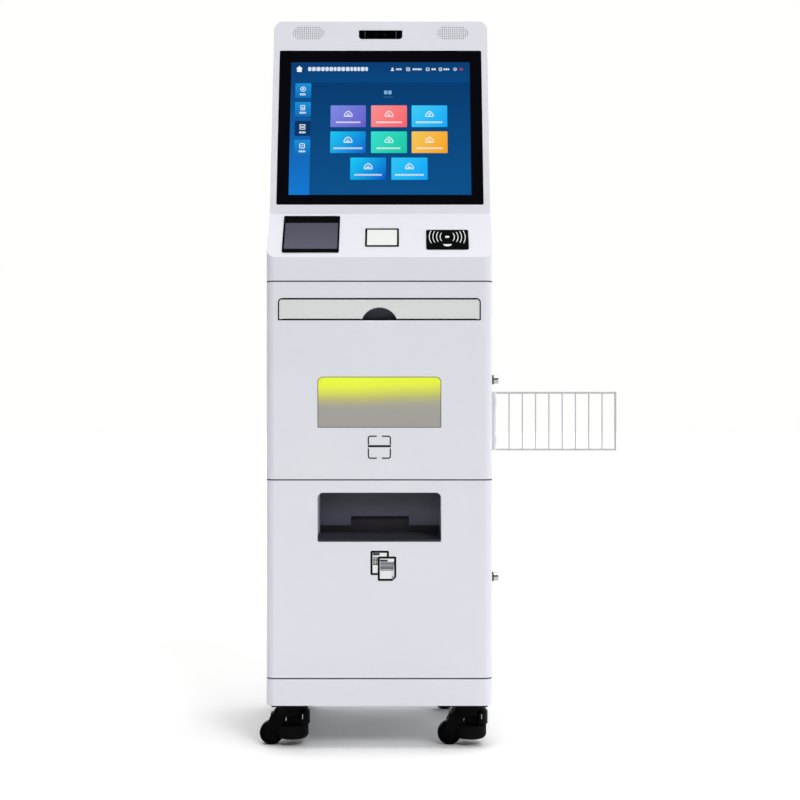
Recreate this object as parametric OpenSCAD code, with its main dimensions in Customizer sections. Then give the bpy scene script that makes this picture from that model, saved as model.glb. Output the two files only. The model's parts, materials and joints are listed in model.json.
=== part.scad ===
// Self-service kiosk: a sheet-metal cabinet on four levelling casters, two hinged doors,
// a pull-out document drawer, a printer bay and a tilted head with a touch screen.
// Millimetres, +Z up, front towards -Y, origin on the floor under the middle of the cabinet.

/* [Cabinet] */
// Width over the side panels
body_w = 454.5; // [440:0.5:480]
// Depth from the door faces to the rear panel
body_d = 450; // [440:1:500]
// Radius of the front upright corners
corner_r = 18; // [12:1:19]
// Thickness of the folded sheet
sheet = 2; // [1.6:0.1:2.2]
// Width of the seams between panels
seam = 2.5; // [2:0.1:3]
// Height of the plinth wall
plinth_h = 53.7; // [45:0.1:65]
// Height of each door
door_h = 395.8; // [390:0.1:420]
// Depth of the door pans, from the face to the hinge line
door_d = 45; // [44:0.5:50]
// Width of the folded flanges inside the panels
flange_w = 15; // [12:1:17]

/* [Head] */
// Height of the upright band below the deck
band_h = 47.2; // [40:0.1:60]
// Slope of the deck from level
deck_slope = 49.3; // [45:0.1:52]
// Length of the deck up its slope
deck_len = 128; // [127:0.5:140]
// Lean of the screen panel from upright
panel_tilt = 15.3; // [12:0.1:18]
// Length of the screen panel up its slope
panel_len = 441; // [440:1:470]
// Depth of the level top of the head
head_top_d = 95; // [80:1:110]
// Height of the upright part of the head's rear
head_rear_h = 190; // [150:1:230]
// Radius of the two top corners of the head
head_corner_r = 19; // [12:1:24]

/* [Screen] */
// Width of the touch glass
glass_w = 427.5; // [400:0.5:428]
// Distance from the touch glass to the head top
glass_down = 69; // [68:0.5:80]
// Thickness of the touch glass
glass_t = 4; // [3:0.5:6]
// Corner radius of the touch glass
glass_r = 3; // [2:0.5:6]
// Distance from the deck edge to the touch glass
glass_up = 20.5; // [19:0.5:22]
// Width of the lit picture
picture_w = 378; // [350:1:378]
// Distance from the picture to the glass top
picture_down = 27.3; // [26:0.1:40]
// Distance from the glass bottom to the picture
picture_up = 21.5; // [18:0.5:24]
// Slack round flush inserts
insert_gap = 0.4; // [0.3:0.1:0.6]

/* [Camera and speakers] */
// Width of the camera bar
camera_w = 92; // [70:1:100]
// Height of the camera bar
camera_h = 20.5; // [16:0.5:24]
// Distance of the camera bar's middle from the head top
camera_down = 31; // [29:0.5:33]
// Distance of each speaker from the middle
speaker_x = 154; // [145:1:165]
// Distance of the speaker's middle from the head top
speaker_down = 27; // [26:0.5:32]
// Width of the perforated field
speaker_w = 68; // [50:1:72]
// Height of the perforated field
speaker_h = 33; // [24:1:34]
// Spacing of the perforations
hole_pitch = 4.5; // [4:0.1:6]
// Diameter of one perforation
hole_d = 2.5; // [1.6:0.1:2.6]

/* [Deck readers] */
// Middle of the document reader across the deck
reader_x = -139; // [-145:1:-130]
// Width of the document reader frame
reader_w = 114.8; // [100:0.1:118]
// Length of the document reader frame up the slope
reader_l = 106.4; // [104:0.1:110]
// Middle of the document reader up the slope
reader_u = 66; // [64:0.5:68]
// Width of the document reader glass
reader_glass_w = 108.1; // [90:0.1:109]
// Length of the document reader glass
reader_glass_l = 78.7; // [70:0.1:84]
// Middle of the document reader glass up the slope
reader_glass_u = 61.2; // [59:0.1:66]
// Depth of the document reader below the deck
reader_depth = 56; // [40:1:60]
// Middle of the code reader across the deck
code_x = 5; // [-10:1:10]
// Middle of the code reader up the slope
code_u = 56.4; // [50:0.1:66]
// Width of the code reader frame
code_w = 68.6; // [60:0.1:80]
// Length of the code reader frame up the slope
code_l = 53.4; // [46:0.1:60]
// Border of the code reader frame
code_border = 3; // [2.6:0.1:5]
// Middle of the card reader across the deck
card_x = 137.3; // [130:0.1:145]
// Middle of the card reader up the slope
card_u = 49.9; // [45:0.1:60]
// Width of the card reader plate
card_w = 86.1; // [80:0.1:92]
// Length of the card reader plate up the slope
card_l = 57.4; // [50:0.1:62]

/* [Drawer] */
// Width of the drawer opening in the upper door
drawer_open_w = 407; // [404:1:410]
// Height of the drawer opening
drawer_open_h = 45; // [44.8:0.1:47]
// Underside of the drawer opening above the upper door's bottom edge
drawer_up = 318.5; // [300:0.5:330]
// Gap round the drawer front
drawer_gap = 2.7; // [2.2:0.1:3]
// Thickness of the drawer front
drawer_front_t = 16; // [12:1:18]
// Width of the half-moon finger notch
notch_w = 70; // [50:1:80]
// Height of the half-moon finger notch
notch_h = 23.5; // [18:0.5:26]
// Length of the drawer slides
slide_len = 340; // [320:1:345]
// Pull-out travel of the drawer
drawer_travel = 290; // [240:1:300]
// Width of the drawer tray
tray_w = 360; // [350:1:361]

/* [Scan window] */
// Width of the scan window opening
scan_w = 248; // [220:1:260]
// Height of the scan window opening
scan_h = 102; // [80:1:110]
// Underside of the scan window above the upper door's bottom edge
scan_up = 103.5; // [90:0.5:120]
// Depth of the scan module behind its window
scan_depth = 32; // [20:1:34]

/* [Printer bay] */
// Width of the printer opening
bay_w = 248; // [220:1:260]
// Height of the printer opening
bay_h = 98.6; // [90:0.1:105]
// Underside of the printer opening above the lower door's bottom edge
bay_up = 272.8; // [250:0.1:280]
// Depth of the bay behind the door sheet
bay_depth = 100; // [80:1:105]
// Radius of the top corners of the door openings
opening_r = 11; // [8:0.5:14]
// Height of the hood's lower edge above the bay's underside
hood_up = 25.5; // [18:0.5:28]
// Height of the hood's middle notch above the bay's underside
hood_notch_up = 44.5; // [34:0.5:50]
// Width of the hood's middle notch
hood_notch_w = 120; // [90:1:150]

/* [Locks and hinges] */
// Distance of the locks from the door faces
lock_back = 28; // [27.5:0.5:30]
// Height of each lock above its door's bottom edge
lock_up = 200; // [180:1:220]
// Diameter of the lock flange
lock_d = 18.5; // [15:0.5:19]
// Projection of the lock in front of the side panel
lock_out = 13; // [9:0.5:15]
// Length of the lock cam from its axis
cam_len = 32; // [26:1:34]
// Radius of the hinge barrel
barrel_r = 3.8; // [3.4:0.1:3.9]
// Radius of the hinge pin
pin_r = 1.5; // [1.2:0.1:1.8]
// Running clearance on pins and shafts
fit = 0.05; // [0.03:0.01:0.08]

/* [Side rack] */
// Length of the rack from its post to its end wire
rack_len = 248.8; // [200:0.1:260]
// Height of the rack between its outer wires
rack_h = 116; // [100:1:130]
// Underside of the rack's lower wire above the floor
rack_z = 597; // [580:0.5:620]
// Distance of the rack post behind the door faces
rack_back = 60; // [58:1:80]
// Radius of the rack post
post_r = 4.4; // [4:0.1:6]
// Radius of the frame wires
frame_wire_r = 2.2; // [2:0.1:3.2]
// Radius of the upright bars
bar_r = 1.3; // [1.2:0.1:2]
// Number of upright bars
bar_count = 8; // [5:1:9]

/* [Casters] */
// Floor to the underside of the plinth
caster_h = 87; // [86:0.5:92]
// Swivel axes in from the side panels
caster_side = 46.25; // [40:0.25:50]
// Swivel axes in from the front and rear faces
caster_in = 50; // [45:1:60]
// Side of the square mounting plate
plate_w = 75; // [66:1:80]
// Thickness of the mounting plate
plate_t = 5; // [3:0.5:6]
// Radius of the wheels
wheel_r = 24; // [22:0.5:25]
// Width of the wheels
wheel_w = 20; // [17:0.5:21]
// Offset of the wheel axle from the swivel axis
wheel_back = 39; // [38.5:0.5:42]
// Radius of the levelling pad
pad_r = 32.5; // [30:0.1:33]
// Offset of the middle of the levelling pad from the swivel axis
pad_mid = 3.5; // [2:0.1:5]
// Offset of the thumbwheel and its stud from the swivel axis
pad_fore = 11; // [11:0.1:12]
// Height of the raised pad above the floor
pad_clear = 14; // [12:0.5:14]
// Height of the levelling pad
pad_h = 28; // [24:0.5:28]
// Travel of the levelling pad
pad_travel = 16; // [14:0.5:16]
// Radius of the thumbwheel
thumb_r = 20; // [16:0.5:20]
// Height of the thumbwheel
thumb_h = 14; // [12:0.5:14]
// Number of grip grooves in the thumbwheel
thumb_grooves = 18; // [10:1:20]

/* [Hidden] */
$fn = 64;

side_x = body_w / 2;
front_y = -body_d / 2;
rear_y = body_d / 2;
plinth_top = caster_h + plinth_h;
lower_z = plinth_top + seam;
upper_z = lower_z + door_h + seam;
head_z = upper_z + door_h + seam;
frame_top = head_z - seam;

hinge_x = -side_x + barrel_r + 0.2;
hinge_y = front_y + door_d;
hinge_gap = barrel_r + 2.4;
jamb_left_y = hinge_y + hinge_gap;
jamb_right_y = hinge_y + seam / 2;
knuckles = 6;
lock_y = front_y + lock_back;

deck_z = head_z + band_h;
panel_y = front_y + deck_len * cos(deck_slope);
panel_z = deck_z + deck_len * sin(deck_slope);
glass_h = panel_len - glass_up - glass_down;
picture_h = glass_h - picture_up - picture_down;
top_y = panel_y + panel_len * sin(panel_tilt);
top_z = panel_z + panel_len * cos(panel_tilt);
knee_z = head_z + head_rear_h;
head_profile = [[front_y, head_z], [rear_y, head_z], [rear_y, knee_z], [top_y + head_top_d, top_z],
    [top_y, top_z], [panel_y, panel_z], [front_y, deck_z]];

drawer_z = upper_z + drawer_up;
drawer_w = drawer_open_w - 2 * drawer_gap;
drawer_h = drawer_open_h - 2 * drawer_gap;
drawer_bottom = drawer_z + drawer_gap;
tray_z = drawer_bottom + 1.5;
tray_h = 33;
tray_pocket = 22;
slide_y = front_y + drawer_front_t + 4;
slide_t = 1.6;
slide_run = 0.8;
notch_r = (notch_w * notch_w / 4 + notch_h * notch_h) / (2 * notch_h);

scan_z = upper_z + scan_up;
bay_z = lower_z + bay_up;
upper_lock_z = upper_z + lock_up;
lower_lock_z = lower_z + lock_up;
printer_shelf_z = bay_z - 120;

post_x = side_x + post_r + 1.2;
post_y = front_y + rack_back;
rack_low = rack_z + frame_wire_r;
eye_h = 14;
eye_up = 13;
post_collar = post_r + 0.4;
eye_r = post_r + 1.6;

caster_x = side_x - caster_side;
caster_y = rear_y - caster_in;
collar_r = 30;
collar_z = pad_clear + pad_h + thumb_h + 6;
collar_top = caster_h - plate_t - 0.6;
thumb_z = pad_clear + pad_h + 2;
kingpin_r = 4;
stud_r = 4;
neck_r = 6;
axle_r = 4;
cheek_in = wheel_w / 2 + 1.5;
cheek_t = 4;
guard_r = thumb_r + 8;
guard_z = pad_clear + pad_h + 1.5;
slot_x = wheel_r - wheel_back + 3.4;
slot_y = cheek_in + cheek_t + 1;
caster_at = [[-caster_x, -caster_y, 0], [caster_x, -caster_y, 0],
    [-caster_x, caster_y, 0], [caster_x, caster_y, 0]];

white_paint = [0.86, 0.865, 0.89];
dark_grey = [0.2, 0.2, 0.23];
black = [0.06, 0.06, 0.07];
steel = [0.62, 0.63, 0.65];

// Turns a direction a quarter turn to its left
function left_of(v) = [-v[1], v[0]];
function along(a, b) = (b - a) / norm(b - a);
// Where the line through p along d meets the line through q along e
function crossing(p, d, q, e) = p + d * (((q - p) * left_of(e)) / (d * left_of(e)));
// Moves every edge of an anticlockwise outline inwards by t
function inset(pts, t) = [for (i = [0:len(pts) - 1])
    let (a = pts[(i + len(pts) - 1) % len(pts)], b = pts[i], c = pts[(i + 1) % len(pts)],
        d = along(a, b), e = along(b, c))
    crossing(b + t * left_of(d), d, b + t * left_of(e), e)];
// Point at height z on the line from a to b
function at_height(a, b, z) = a + (b - a) * ((z - a[1]) / (b[1] - a[1]));

// Plan of the cabinet with rounded front corners, drawn smaller all round by the given amount
module body_plan(less) {
    r = corner_r - less;
    x = side_x - less;
    translate([-x, front_y + corner_r]) square([2 * x, body_d - corner_r - less]);
    translate([r - x, front_y + less]) square([2 * (x - r), body_d - 2 * less]);
    for (s = [-1, 1]) translate([s * (x - r), front_y + corner_r]) circle(r);
}

// Outline with round top corners and a straight foot
module tombstone(w, h, r) {
    translate([-w / 2, 0]) square([w, h - r]);
    translate([r - w / 2, 0]) square([w - 2 * r, h]);
    for (s = [-1, 1]) translate([s * (w / 2 - r), h - r]) circle(r);
}

// Outline with large top corners and small bottom corners
module arch(w, h, r, foot_r) {
    translate([0, foot_r]) tombstone(w, h - foot_r, r);
    translate([foot_r - w / 2, 0]) square([w - 2 * foot_r, h - r]);
    for (s = [-1, 1]) translate([s * (w / 2 - foot_r), foot_r]) circle(foot_r);
}

// Rectangle with four round corners about the origin
module rounded(w, h, r) {
    square([w - 2 * r, h], center = true);
    square([w, h - 2 * r], center = true);
    for (sx = [-1, 1], sy = [-1, 1]) translate([sx * (w / 2 - r), sy * (h / 2 - r)]) circle(r);
}

// Stands a drawing of x and z up, from y back to y + t
module upright(y, t) translate([0, y + t, 0]) rotate([90, 0, 0]) linear_extrude(t) children();
// Carries a drawing of y and z across the cabinet from -w / 2 to w / 2
module across(w) rotate([90, 0, 90]) translate([0, 0, -w / 2]) linear_extrude(w) children();
// Deck and screen panel frames: x across, y up the slope, z out of the face
module on_deck() translate([0, front_y, deck_z]) rotate([deck_slope, 0, 0]) children();
module on_panel() translate([0, panel_y, panel_z]) rotate([90 - panel_tilt, 0, 0]) children();
module slab(x0, x1, y0, y1, z0, z1) translate([x0, y0, z0]) cube([x1 - x0, y1 - y0, z1 - z0]);
// Row of level slots cut through the rear panels
module slots(x, z, rows, w) {
    for (i = [0:rows - 1]) translate([x - w / 2, rear_y - 330, z + i * 14]) cube([w, 340, 5]);
}

// Round-ended hole for the cables between the floors
module cable_hole(z) translate([0, 110, z - 8]) linear_extrude(20) rounded(130, 70, 20);

// Folded plinth tray with a raised floor for the cabinet
module base_plinth() color(white_paint) {
    difference() {
        translate([0, 0, caster_h]) linear_extrude(plinth_h) body_plan(0);
        translate([0, 0, caster_h + 3]) linear_extrude(plinth_h - 3 - sheet) body_plan(sheet);
        cable_hole(plinth_top);
    }
    difference() {
        slab(-side_x + 4, side_x - 4, jamb_left_y, rear_y - 4, plinth_top, lower_z);
        cable_hole(plinth_top);
    }
}

// One flanged side panel, s is -1 for the left and 1 for the right
module side_panel(s, y0) {
    x = side_x - sheet;
    mirror([s < 0 ? 1 : 0, 0, 0]) {
        slab(x, side_x, y0, rear_y, lower_z, frame_top);
        slab(x - flange_w, x, y0, y0 + sheet, lower_z, frame_top);
        slab(x - flange_w, x, rear_y - 2 * sheet, rear_y - sheet, lower_z, frame_top);
        slab(x - flange_w, x, y0, rear_y - sheet, lower_z, lower_z + sheet);
        slab(x - flange_w, x, y0, rear_y - sheet, frame_top - sheet, frame_top);
    }
}

// Hinge knuckles of one door line, first knuckle at the bottom
module knuckle_row(z0, first, back) {
    step = door_h / knuckles;
    for (i = [first:2:knuckles - 1]) translate([0, 0, z0 + i * step + 0.3]) {
        translate([hinge_x, hinge_y, 0]) cylinder(h = step - 0.6, r = barrel_r);
        translate([-side_x, back > 0 ? hinge_y : hinge_y + back - 1, 0])
            cube([sheet, abs(back) + 1, step - 0.6]);
    }
}
module pin_bore(z0, slack) {
    translate([hinge_x, hinge_y, z0 - 1]) cylinder(h = door_h + 2, r = pin_r + slack);
}

module left_side_panel() color(white_paint) difference() {
    union() {
        side_panel(-1, jamb_left_y);
        knuckle_row(lower_z, 0, hinge_gap);
        knuckle_row(upper_z, 0, hinge_gap);
    }
    pin_bore(lower_z, 0.02);
    pin_bore(upper_z, 0.02);
}

module right_side_panel() color(white_paint) side_panel(1, jamb_right_y);

// Hooks that the lock cams turn behind
module lock_strikes() color(steel) for (z = [upper_lock_z, lower_lock_z]) {
    x1 = side_x - 2 * sheet - 9;
    y0 = lock_y - 9.5;
    slab(x1 - 11, x1, y0, y0 + 3, z + 18, z + cam_len + 5);
    slab(x1 - 11, x1, y0, jamb_right_y, z + cam_len + 2, z + cam_len + 5);
    slab(x1 - 11, x1, jamb_right_y - 2, jamb_right_y, z + cam_len + 2, z + cam_len + 18);
}

module rear_panel() color(white_paint) difference() {
    slab(-side_x + sheet + 0.4, side_x - sheet - 0.4, rear_y - sheet, rear_y, lower_z + 0.4, frame_top - 0.4);
    for (x = [-100, 0, 100]) {
        slots(x, lower_z + 260, 7, 70);
        slots(x, upper_z + 250, 7, 70);
    }
    inlet_opening();
}

module top_plate() color(white_paint) difference() {
    slab(-side_x + 4, side_x - 4, jamb_left_y, rear_y - 4, frame_top, head_z);
    cable_hole(head_z);
}

// Shelf under the upper bay and shelf under the printer
module shelves() color(white_paint) {
    for (z = [upper_z - seam / 2 - sheet / 2, printer_shelf_z]) {
        difference() {
            union() {
                slab(-side_x + sheet, side_x - sheet, jamb_left_y + sheet, rear_y - 2 * sheet, z, z + sheet);
                slab(-side_x + 40, side_x - 40, jamb_left_y + sheet, jamb_left_y + 2 * sheet, z - 18, z);
            }
            translate([-150, 150, z]) cylinder(h = 60, r = 22, center = true);
        }
    }
}

// Door pan: face, returns, top and bottom edges, and its hinge knuckles
module door(z0, lock_z) {
    difference() {
        union() {
            difference() {
                translate([0, 0, z0]) linear_extrude(door_h) body_plan(0);
                translate([0, 0, z0 + sheet]) linear_extrude(door_h - 2 * sheet) body_plan(sheet);
                slab(-side_x - 1, side_x + 1, hinge_y - seam / 2, rear_y + 1, z0 - 1, z0 + door_h + 1);
                slab(-side_x - 1, hinge_x + 8, hinge_y - hinge_gap, rear_y + 1, z0 - 1, z0 + door_h + 1);
            }
            knuckle_row(z0, 1, -hinge_gap);
        }
        pin_bore(z0, fit);
        translate([side_x, lock_y, lock_z]) rotate([0, 90, 0]) cylinder(h = 20, r = 7.2, center = true);
        children();
    }
}

module upper_door() color(white_paint) door(upper_z, upper_lock_z) {
    upright(front_y - 1, 12) translate([0, drawer_z]) arch(drawer_open_w, drawer_open_h, opening_r - 2, 1.5);
    upright(front_y - 1, 12) translate([0, scan_z]) arch(scan_w, scan_h, opening_r, 2);
}

module lower_door() color(white_paint) door(lower_z, lower_lock_z) {
    upright(front_y - 1, 12) translate([0, bay_z]) arch(bay_w, bay_h, opening_r, 2);
}

module hinge_pins() color(steel) for (z = [lower_z, upper_z]) {
    translate([hinge_x, hinge_y, z + 0.3]) cylinder(h = door_h - 0.6, r = pin_r);
}

// Lock barrel with flange and nut, along x
module lock_body(z) translate([side_x, lock_y, z]) rotate([0, 90, 0]) color(steel) difference() {
    union() {
        cylinder(h = 3, r = lock_d / 2);
        cylinder(h = lock_out, r = lock_d / 2 - 1);
        translate([0, 0, -13]) cylinder(h = 14, r = 7);
        translate([0, 0, -sheet - 6]) cylinder(h = 6, r = 9, $fn = 6);
    }
    translate([0, 0, -14]) cylinder(h = lock_out + 20, r = 5 + fit);
}

// Lock plug with key slot and cam, drawn unlocked with the cam to the rear
module lock_plug(z) translate([side_x, lock_y, z]) color(steel) {
    difference() {
        translate([-20, 0, 0]) rotate([0, 90, 0]) cylinder(h = 20 + lock_out - 0.4, r = 5);
        slab(lock_out - 7, lock_out, -0.8, 0.8, -3, 3);
    }
    slab(-22, -19.5, 0, cam_len, -6, 6);
    translate([-22, 0, 0]) rotate([0, 90, 0]) cylinder(h = 2.5, r = 6.4);
}

module upper_lock_body() lock_body(upper_lock_z);
module upper_lock_plug() lock_plug(upper_lock_z);
module lower_lock_body() lock_body(lower_lock_z);
module lower_lock_plug() lock_plug(lower_lock_z);

// Folded head: front band, deck, screen panel, sides and top, open at the rear
module head_shell() color(white_paint) difference() {
    intersection() {
        across(body_w) polygon(head_profile);
        translate([0, 0, head_z]) linear_extrude(top_z - head_z) body_plan(0);
        upright(front_y, body_d) translate([0, head_z]) tombstone(body_w, top_z - head_z, head_corner_r);
    }
    intersection() {
        across(body_w) head_inside();
        translate([0, 0, head_z]) linear_extrude(top_z - head_z) head_plan_inside();
        upright(front_y, body_d + 20) translate([0, head_z])
            tombstone(body_w - 2 * sheet, top_z - head_z - sheet, head_corner_r - sheet);
    }
    cable_hole(head_z);
    on_panel() {
        translate([0, glass_up + glass_h / 2, -10]) linear_extrude(20)
            rounded(glass_w + 2 * insert_gap, glass_h + 2 * insert_gap, glass_r + insert_gap);
        translate([0, panel_len - camera_down, -10]) linear_extrude(20) camera_outline(insert_gap);
        for (s = [-1, 1]) translate([s * speaker_x, panel_len - speaker_down, -10])
            linear_extrude(20) grille_outline();
    }
    on_deck() {
        translate([reader_x, reader_u, -10]) linear_extrude(20) rounded(reader_w - 3, reader_l - 3, 2);
        translate([code_x, code_u, -10]) linear_extrude(20) rounded(code_w - 3, code_l - 3, 2);
        translate([card_x, card_u, -10]) linear_extrude(20) rounded(card_w - 6, card_l - 6, 3);
    }
}

module head_inside() {
    p = inset(head_profile, sheet);
    polygon([p[0], [rear_y + 20, head_z + sheet], [rear_y + 20, top_z - sheet], p[4], p[5], p[6]]);
}

module head_plan_inside() {
    body_plan(sheet);
    translate([-side_x + sheet, 0]) square([2 * (side_x - sheet), rear_y + 20]);
}

// Bent cover that closes the head's rear
module head_rear_cover() color(white_paint) {
    p = inset(head_profile, sheet);
    low = head_z + sheet + insert_gap;
    high = top_z - sheet - insert_gap;
    difference() {
        intersection() {
            across(2 * (side_x - sheet - insert_gap)) polygon([[rear_y - sheet, low], [rear_y, low],
                head_profile[2], at_height(head_profile[2], head_profile[3], high),
                at_height(p[2], p[3], high), p[2]]);
            upright(front_y, body_d + 20) translate([0, head_z])
                tombstone(2 * (side_x - sheet - insert_gap), top_z - head_z - sheet - insert_gap,
                    head_corner_r - sheet - insert_gap);
        }
        for (x = [-100, 0, 100]) {
            slots(x, knee_z + 90, 9, 70);
            slots(x, head_z + 60, 6, 70);
        }
    }
}

module touch_glass() color(black) on_panel() translate([0, glass_up + glass_h / 2, -glass_t])
    linear_extrude(glass_t) rounded(glass_w, glass_h, glass_r);

// Ring behind the panel that carries the glass and the display
module monitor_frame() color(dark_grey) on_panel() translate([0, glass_up + glass_h / 2, 0]) difference() {
    translate([0, 0, -glass_t - 2]) linear_extrude(glass_t + 2 - sheet)
        rounded(glass_w + 14, glass_h + 14, 4);
    translate([0, 0, -glass_t]) linear_extrude(glass_t + 1)
        rounded(glass_w + 2 * insert_gap, glass_h + 2 * insert_gap, glass_r + insert_gap);
    translate([0, picture_mid(), -glass_t - 3]) linear_extrude(glass_t + 4)
        rounded(picture_w + 10, picture_h + 10, 2);
}
function picture_mid() = picture_up + picture_h / 2 - glass_h / 2;

// Display panel with its rear housing
module lcd_module() color(steel) on_panel() translate([0, glass_up + glass_h / 2 + picture_mid(), 0]) {
    difference() {
        union() {
            translate([0, 0, -glass_t - 24]) linear_extrude(22) rounded(picture_w + 22, picture_h + 22, 5);
            translate([0, 0, -glass_t - 3]) linear_extrude(2.7) rounded(picture_w + 8, picture_h + 8, 2);
            translate([0, -20, -glass_t - 36]) linear_extrude(13) rounded(220, 170, 6);
        }
        for (i = [-4:4]) translate([i * 20 - 4, 40, -glass_t - 26]) cube([8, 60, 5]);
    }
}

// Camera bar with tight top corners and rounder bottom corners
module camera_outline(more) {
    mirror([0, 1]) translate([0, -camera_h / 2 - more])
        arch(camera_w + 2 * more, camera_h + 2 * more, 6.5 + more, 1.5 + more);
}

module camera_unit() color(black) on_panel() translate([0, panel_len - camera_down, 0]) {
    translate([0, 0, -sheet]) linear_extrude(sheet - 0.6) camera_outline(0);
    translate([0, 0, -sheet - 3]) linear_extrude(3) rounded(camera_w + 8, camera_h + 6, 2);
    translate([0, 0, -sheet - 20]) linear_extrude(18) rounded(60, 18, 3);
    translate([0, 0, -sheet - 28]) cylinder(h = 9, r = 8);
}

module grille_outline() rounded(speaker_w + 6, speaker_h + 4, speaker_h / 2 + 1.5);
// True where a perforation lies wholly inside the stadium field
function in_field(x, y) = norm([max(0, abs(x) - (speaker_w - speaker_h) / 2), y]) < speaker_h / 2 - hole_d / 2;

module speaker_grilles() color(white_paint) on_panel() for (s = [-1, 1])
    translate([s * speaker_x, panel_len - speaker_down, -sheet]) {
        columns = floor(speaker_w / hole_pitch / 2);
        rows = floor(speaker_h / hole_pitch / 2);
        linear_extrude(sheet) difference() {
            grille_outline();
            for (i = [-columns:columns], j = [-rows:rows]) if (in_field(i * hole_pitch, j * hole_pitch))
                translate([i * hole_pitch, j * hole_pitch]) circle(hole_d / 2, $fn = 16);
        }
    }

module speaker_drivers() color(black) on_panel() for (s = [-1, 1])
    translate([s * speaker_x, panel_len - speaker_down, -sheet]) difference() {
        union() {
            translate([0, 0, -4]) linear_extrude(4) rounded(speaker_w + 8, speaker_h + 6, 6);
            translate([0, 0, -22]) linear_extrude(19) rounded(speaker_w - 6, speaker_h - 4, 6);
        }
        translate([0, 0, -12]) linear_extrude(13) rounded(speaker_w - 10, speaker_h - 8, 5);
    }

// Document reader: raised rim, glass seat and hollow body under the deck
module passport_reader() color(black) on_deck() difference() {
    translate([reader_x, reader_u, 0]) {
        linear_extrude(2.2) rounded(reader_w, reader_l, 3);
        translate([0, 0, -reader_depth]) linear_extrude(reader_depth + 1) rounded(reader_w - 4, reader_l - 4, 2);
    }
    translate([reader_x, reader_glass_u, 0]) {
        translate([0, 0, -2]) linear_extrude(6) rounded(reader_glass_w, reader_glass_l, 1.5);
        translate([0, 0, 4 - reader_depth]) linear_extrude(reader_depth)
            rounded(reader_glass_w - 10, reader_glass_l - 10, 2);
    }
}

module passport_glass() color([0.35, 0.35, 0.39]) on_deck() translate([reader_x, reader_glass_u, -2])
    linear_extrude(2.6) rounded(reader_glass_w - 0.4, reader_glass_l - 0.4, 1.3);

module code_reader_frame() color(black) on_deck() translate([code_x, code_u, 0]) difference() {
    union() {
        linear_extrude(1.2) rounded(code_w, code_l, 2.5);
        translate([0, 0, -40]) linear_extrude(40.5) rounded(code_w - 4, code_l - 4, 2);
    }
    translate([0, 0, -1.2]) linear_extrude(4)
        rounded(code_w - 2 * code_border, code_l - 2 * code_border, 1.5);
    translate([0, 0, -37]) linear_extrude(38)
        rounded(code_w - 2 * code_border - 8, code_l - 2 * code_border - 8, 2);
}

module code_reader_window() color([0.95, 0.95, 0.93]) on_deck() translate([code_x, code_u, -1.2])
    linear_extrude(2) rounded(code_w - 2 * code_border - 0.4, code_l - 2 * code_border - 0.4, 1.3);

module card_reader() color(black) on_deck() translate([card_x, card_u, 0]) {
    linear_extrude(1.6) rounded(card_w, card_l, 4);
    translate([0, 0, -22]) linear_extrude(22.5) rounded(card_w - 7, card_l - 7, 3);
}

// Drawer face with the half-moon finger notch
module drawer_front() color(white_paint) difference() {
    upright(front_y, drawer_front_t) translate([0, drawer_bottom])
        arch(drawer_w, drawer_h, opening_r - 2 - drawer_gap, 1.2);
    upright(front_y - 1, drawer_front_t + 2) translate([0, drawer_bottom + notch_h - notch_r]) circle(notch_r);
}

// Open tray with a finger space behind the face
module drawer_tray() color(dark_grey) {
    y0 = front_y + drawer_front_t;
    y1 = slide_y + slide_len;
    difference() {
        slab(-tray_w / 2, tray_w / 2, y0, y1, tray_z, tray_z + tray_h);
        slab(-tray_w / 2 + 2, tray_w / 2 - 2, y0 + tray_pocket + 2, y1 - 2, tray_z + 2, tray_z + tray_h + 1);
        slab(-tray_w / 2 + 14, tray_w / 2 - 14, y0 - 1, y0 + tray_pocket, tray_z - 1, tray_z + tray_h - 2);
        slab(-110, 110, y0 + 70, y1 - 60, tray_z + 1.2, tray_z + 3);
    }
}

// One telescopic slide member: a web at x with lips from lip_in to lip_out
module slide_member(web, lip_in, lip_out, low, high) for (s = [0, 1]) mirror([s, 0, 0]) {
    slab(web, web + slide_t, slide_y, slide_y + slide_len, low, high);
    slab(lip_in, lip_out, slide_y, slide_y + slide_len, low, low + slide_t);
    slab(lip_in, lip_out, slide_y, slide_y + slide_len, high - slide_t, high);
}
// Inset of the slide lips from the tray's top and bottom, one step for each member
function lip(n) = n * (slide_t + slide_run);

module slide_inner() color(steel) {
    x = tray_w / 2;
    slide_member(x, x, x + 7, tray_z + lip(2), tray_z + tray_h - lip(2));
}
module slide_middle() color(steel) {
    x = tray_w / 2 + 7 + slide_run;
    slide_member(x, tray_w / 2 + slide_t + slide_run, x + 8, tray_z + lip(1), tray_z + tray_h - lip(1));
}
module slide_outer() color(steel) {
    x = tray_w / 2 + 15 + 2 * slide_run;
    slide_member(x, x - 6, x + slide_t, tray_z, tray_z + tray_h);
    for (s = [0, 1], y = [jamb_left_y + 8, slide_y + slide_len - 50]) mirror([s, 0, 0])
        slab(x + slide_t, side_x - sheet, y, y + 22, tray_z + 8, tray_z + tray_h - 8);
}

// Flush pane with a rim behind the door sheet
module scan_window() color([0.8, 0.8, 0.5]) {
    gap = 1.2;
    upright(front_y, sheet + 1) translate([0, scan_z + gap])
        arch(scan_w - 2 * gap, scan_h - 2 * gap, opening_r - gap, 0.8);
    upright(front_y + sheet, 2) translate([0, scan_z + scan_h / 2]) rounded(scan_w + 12, scan_h + 12, 8);
}

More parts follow.
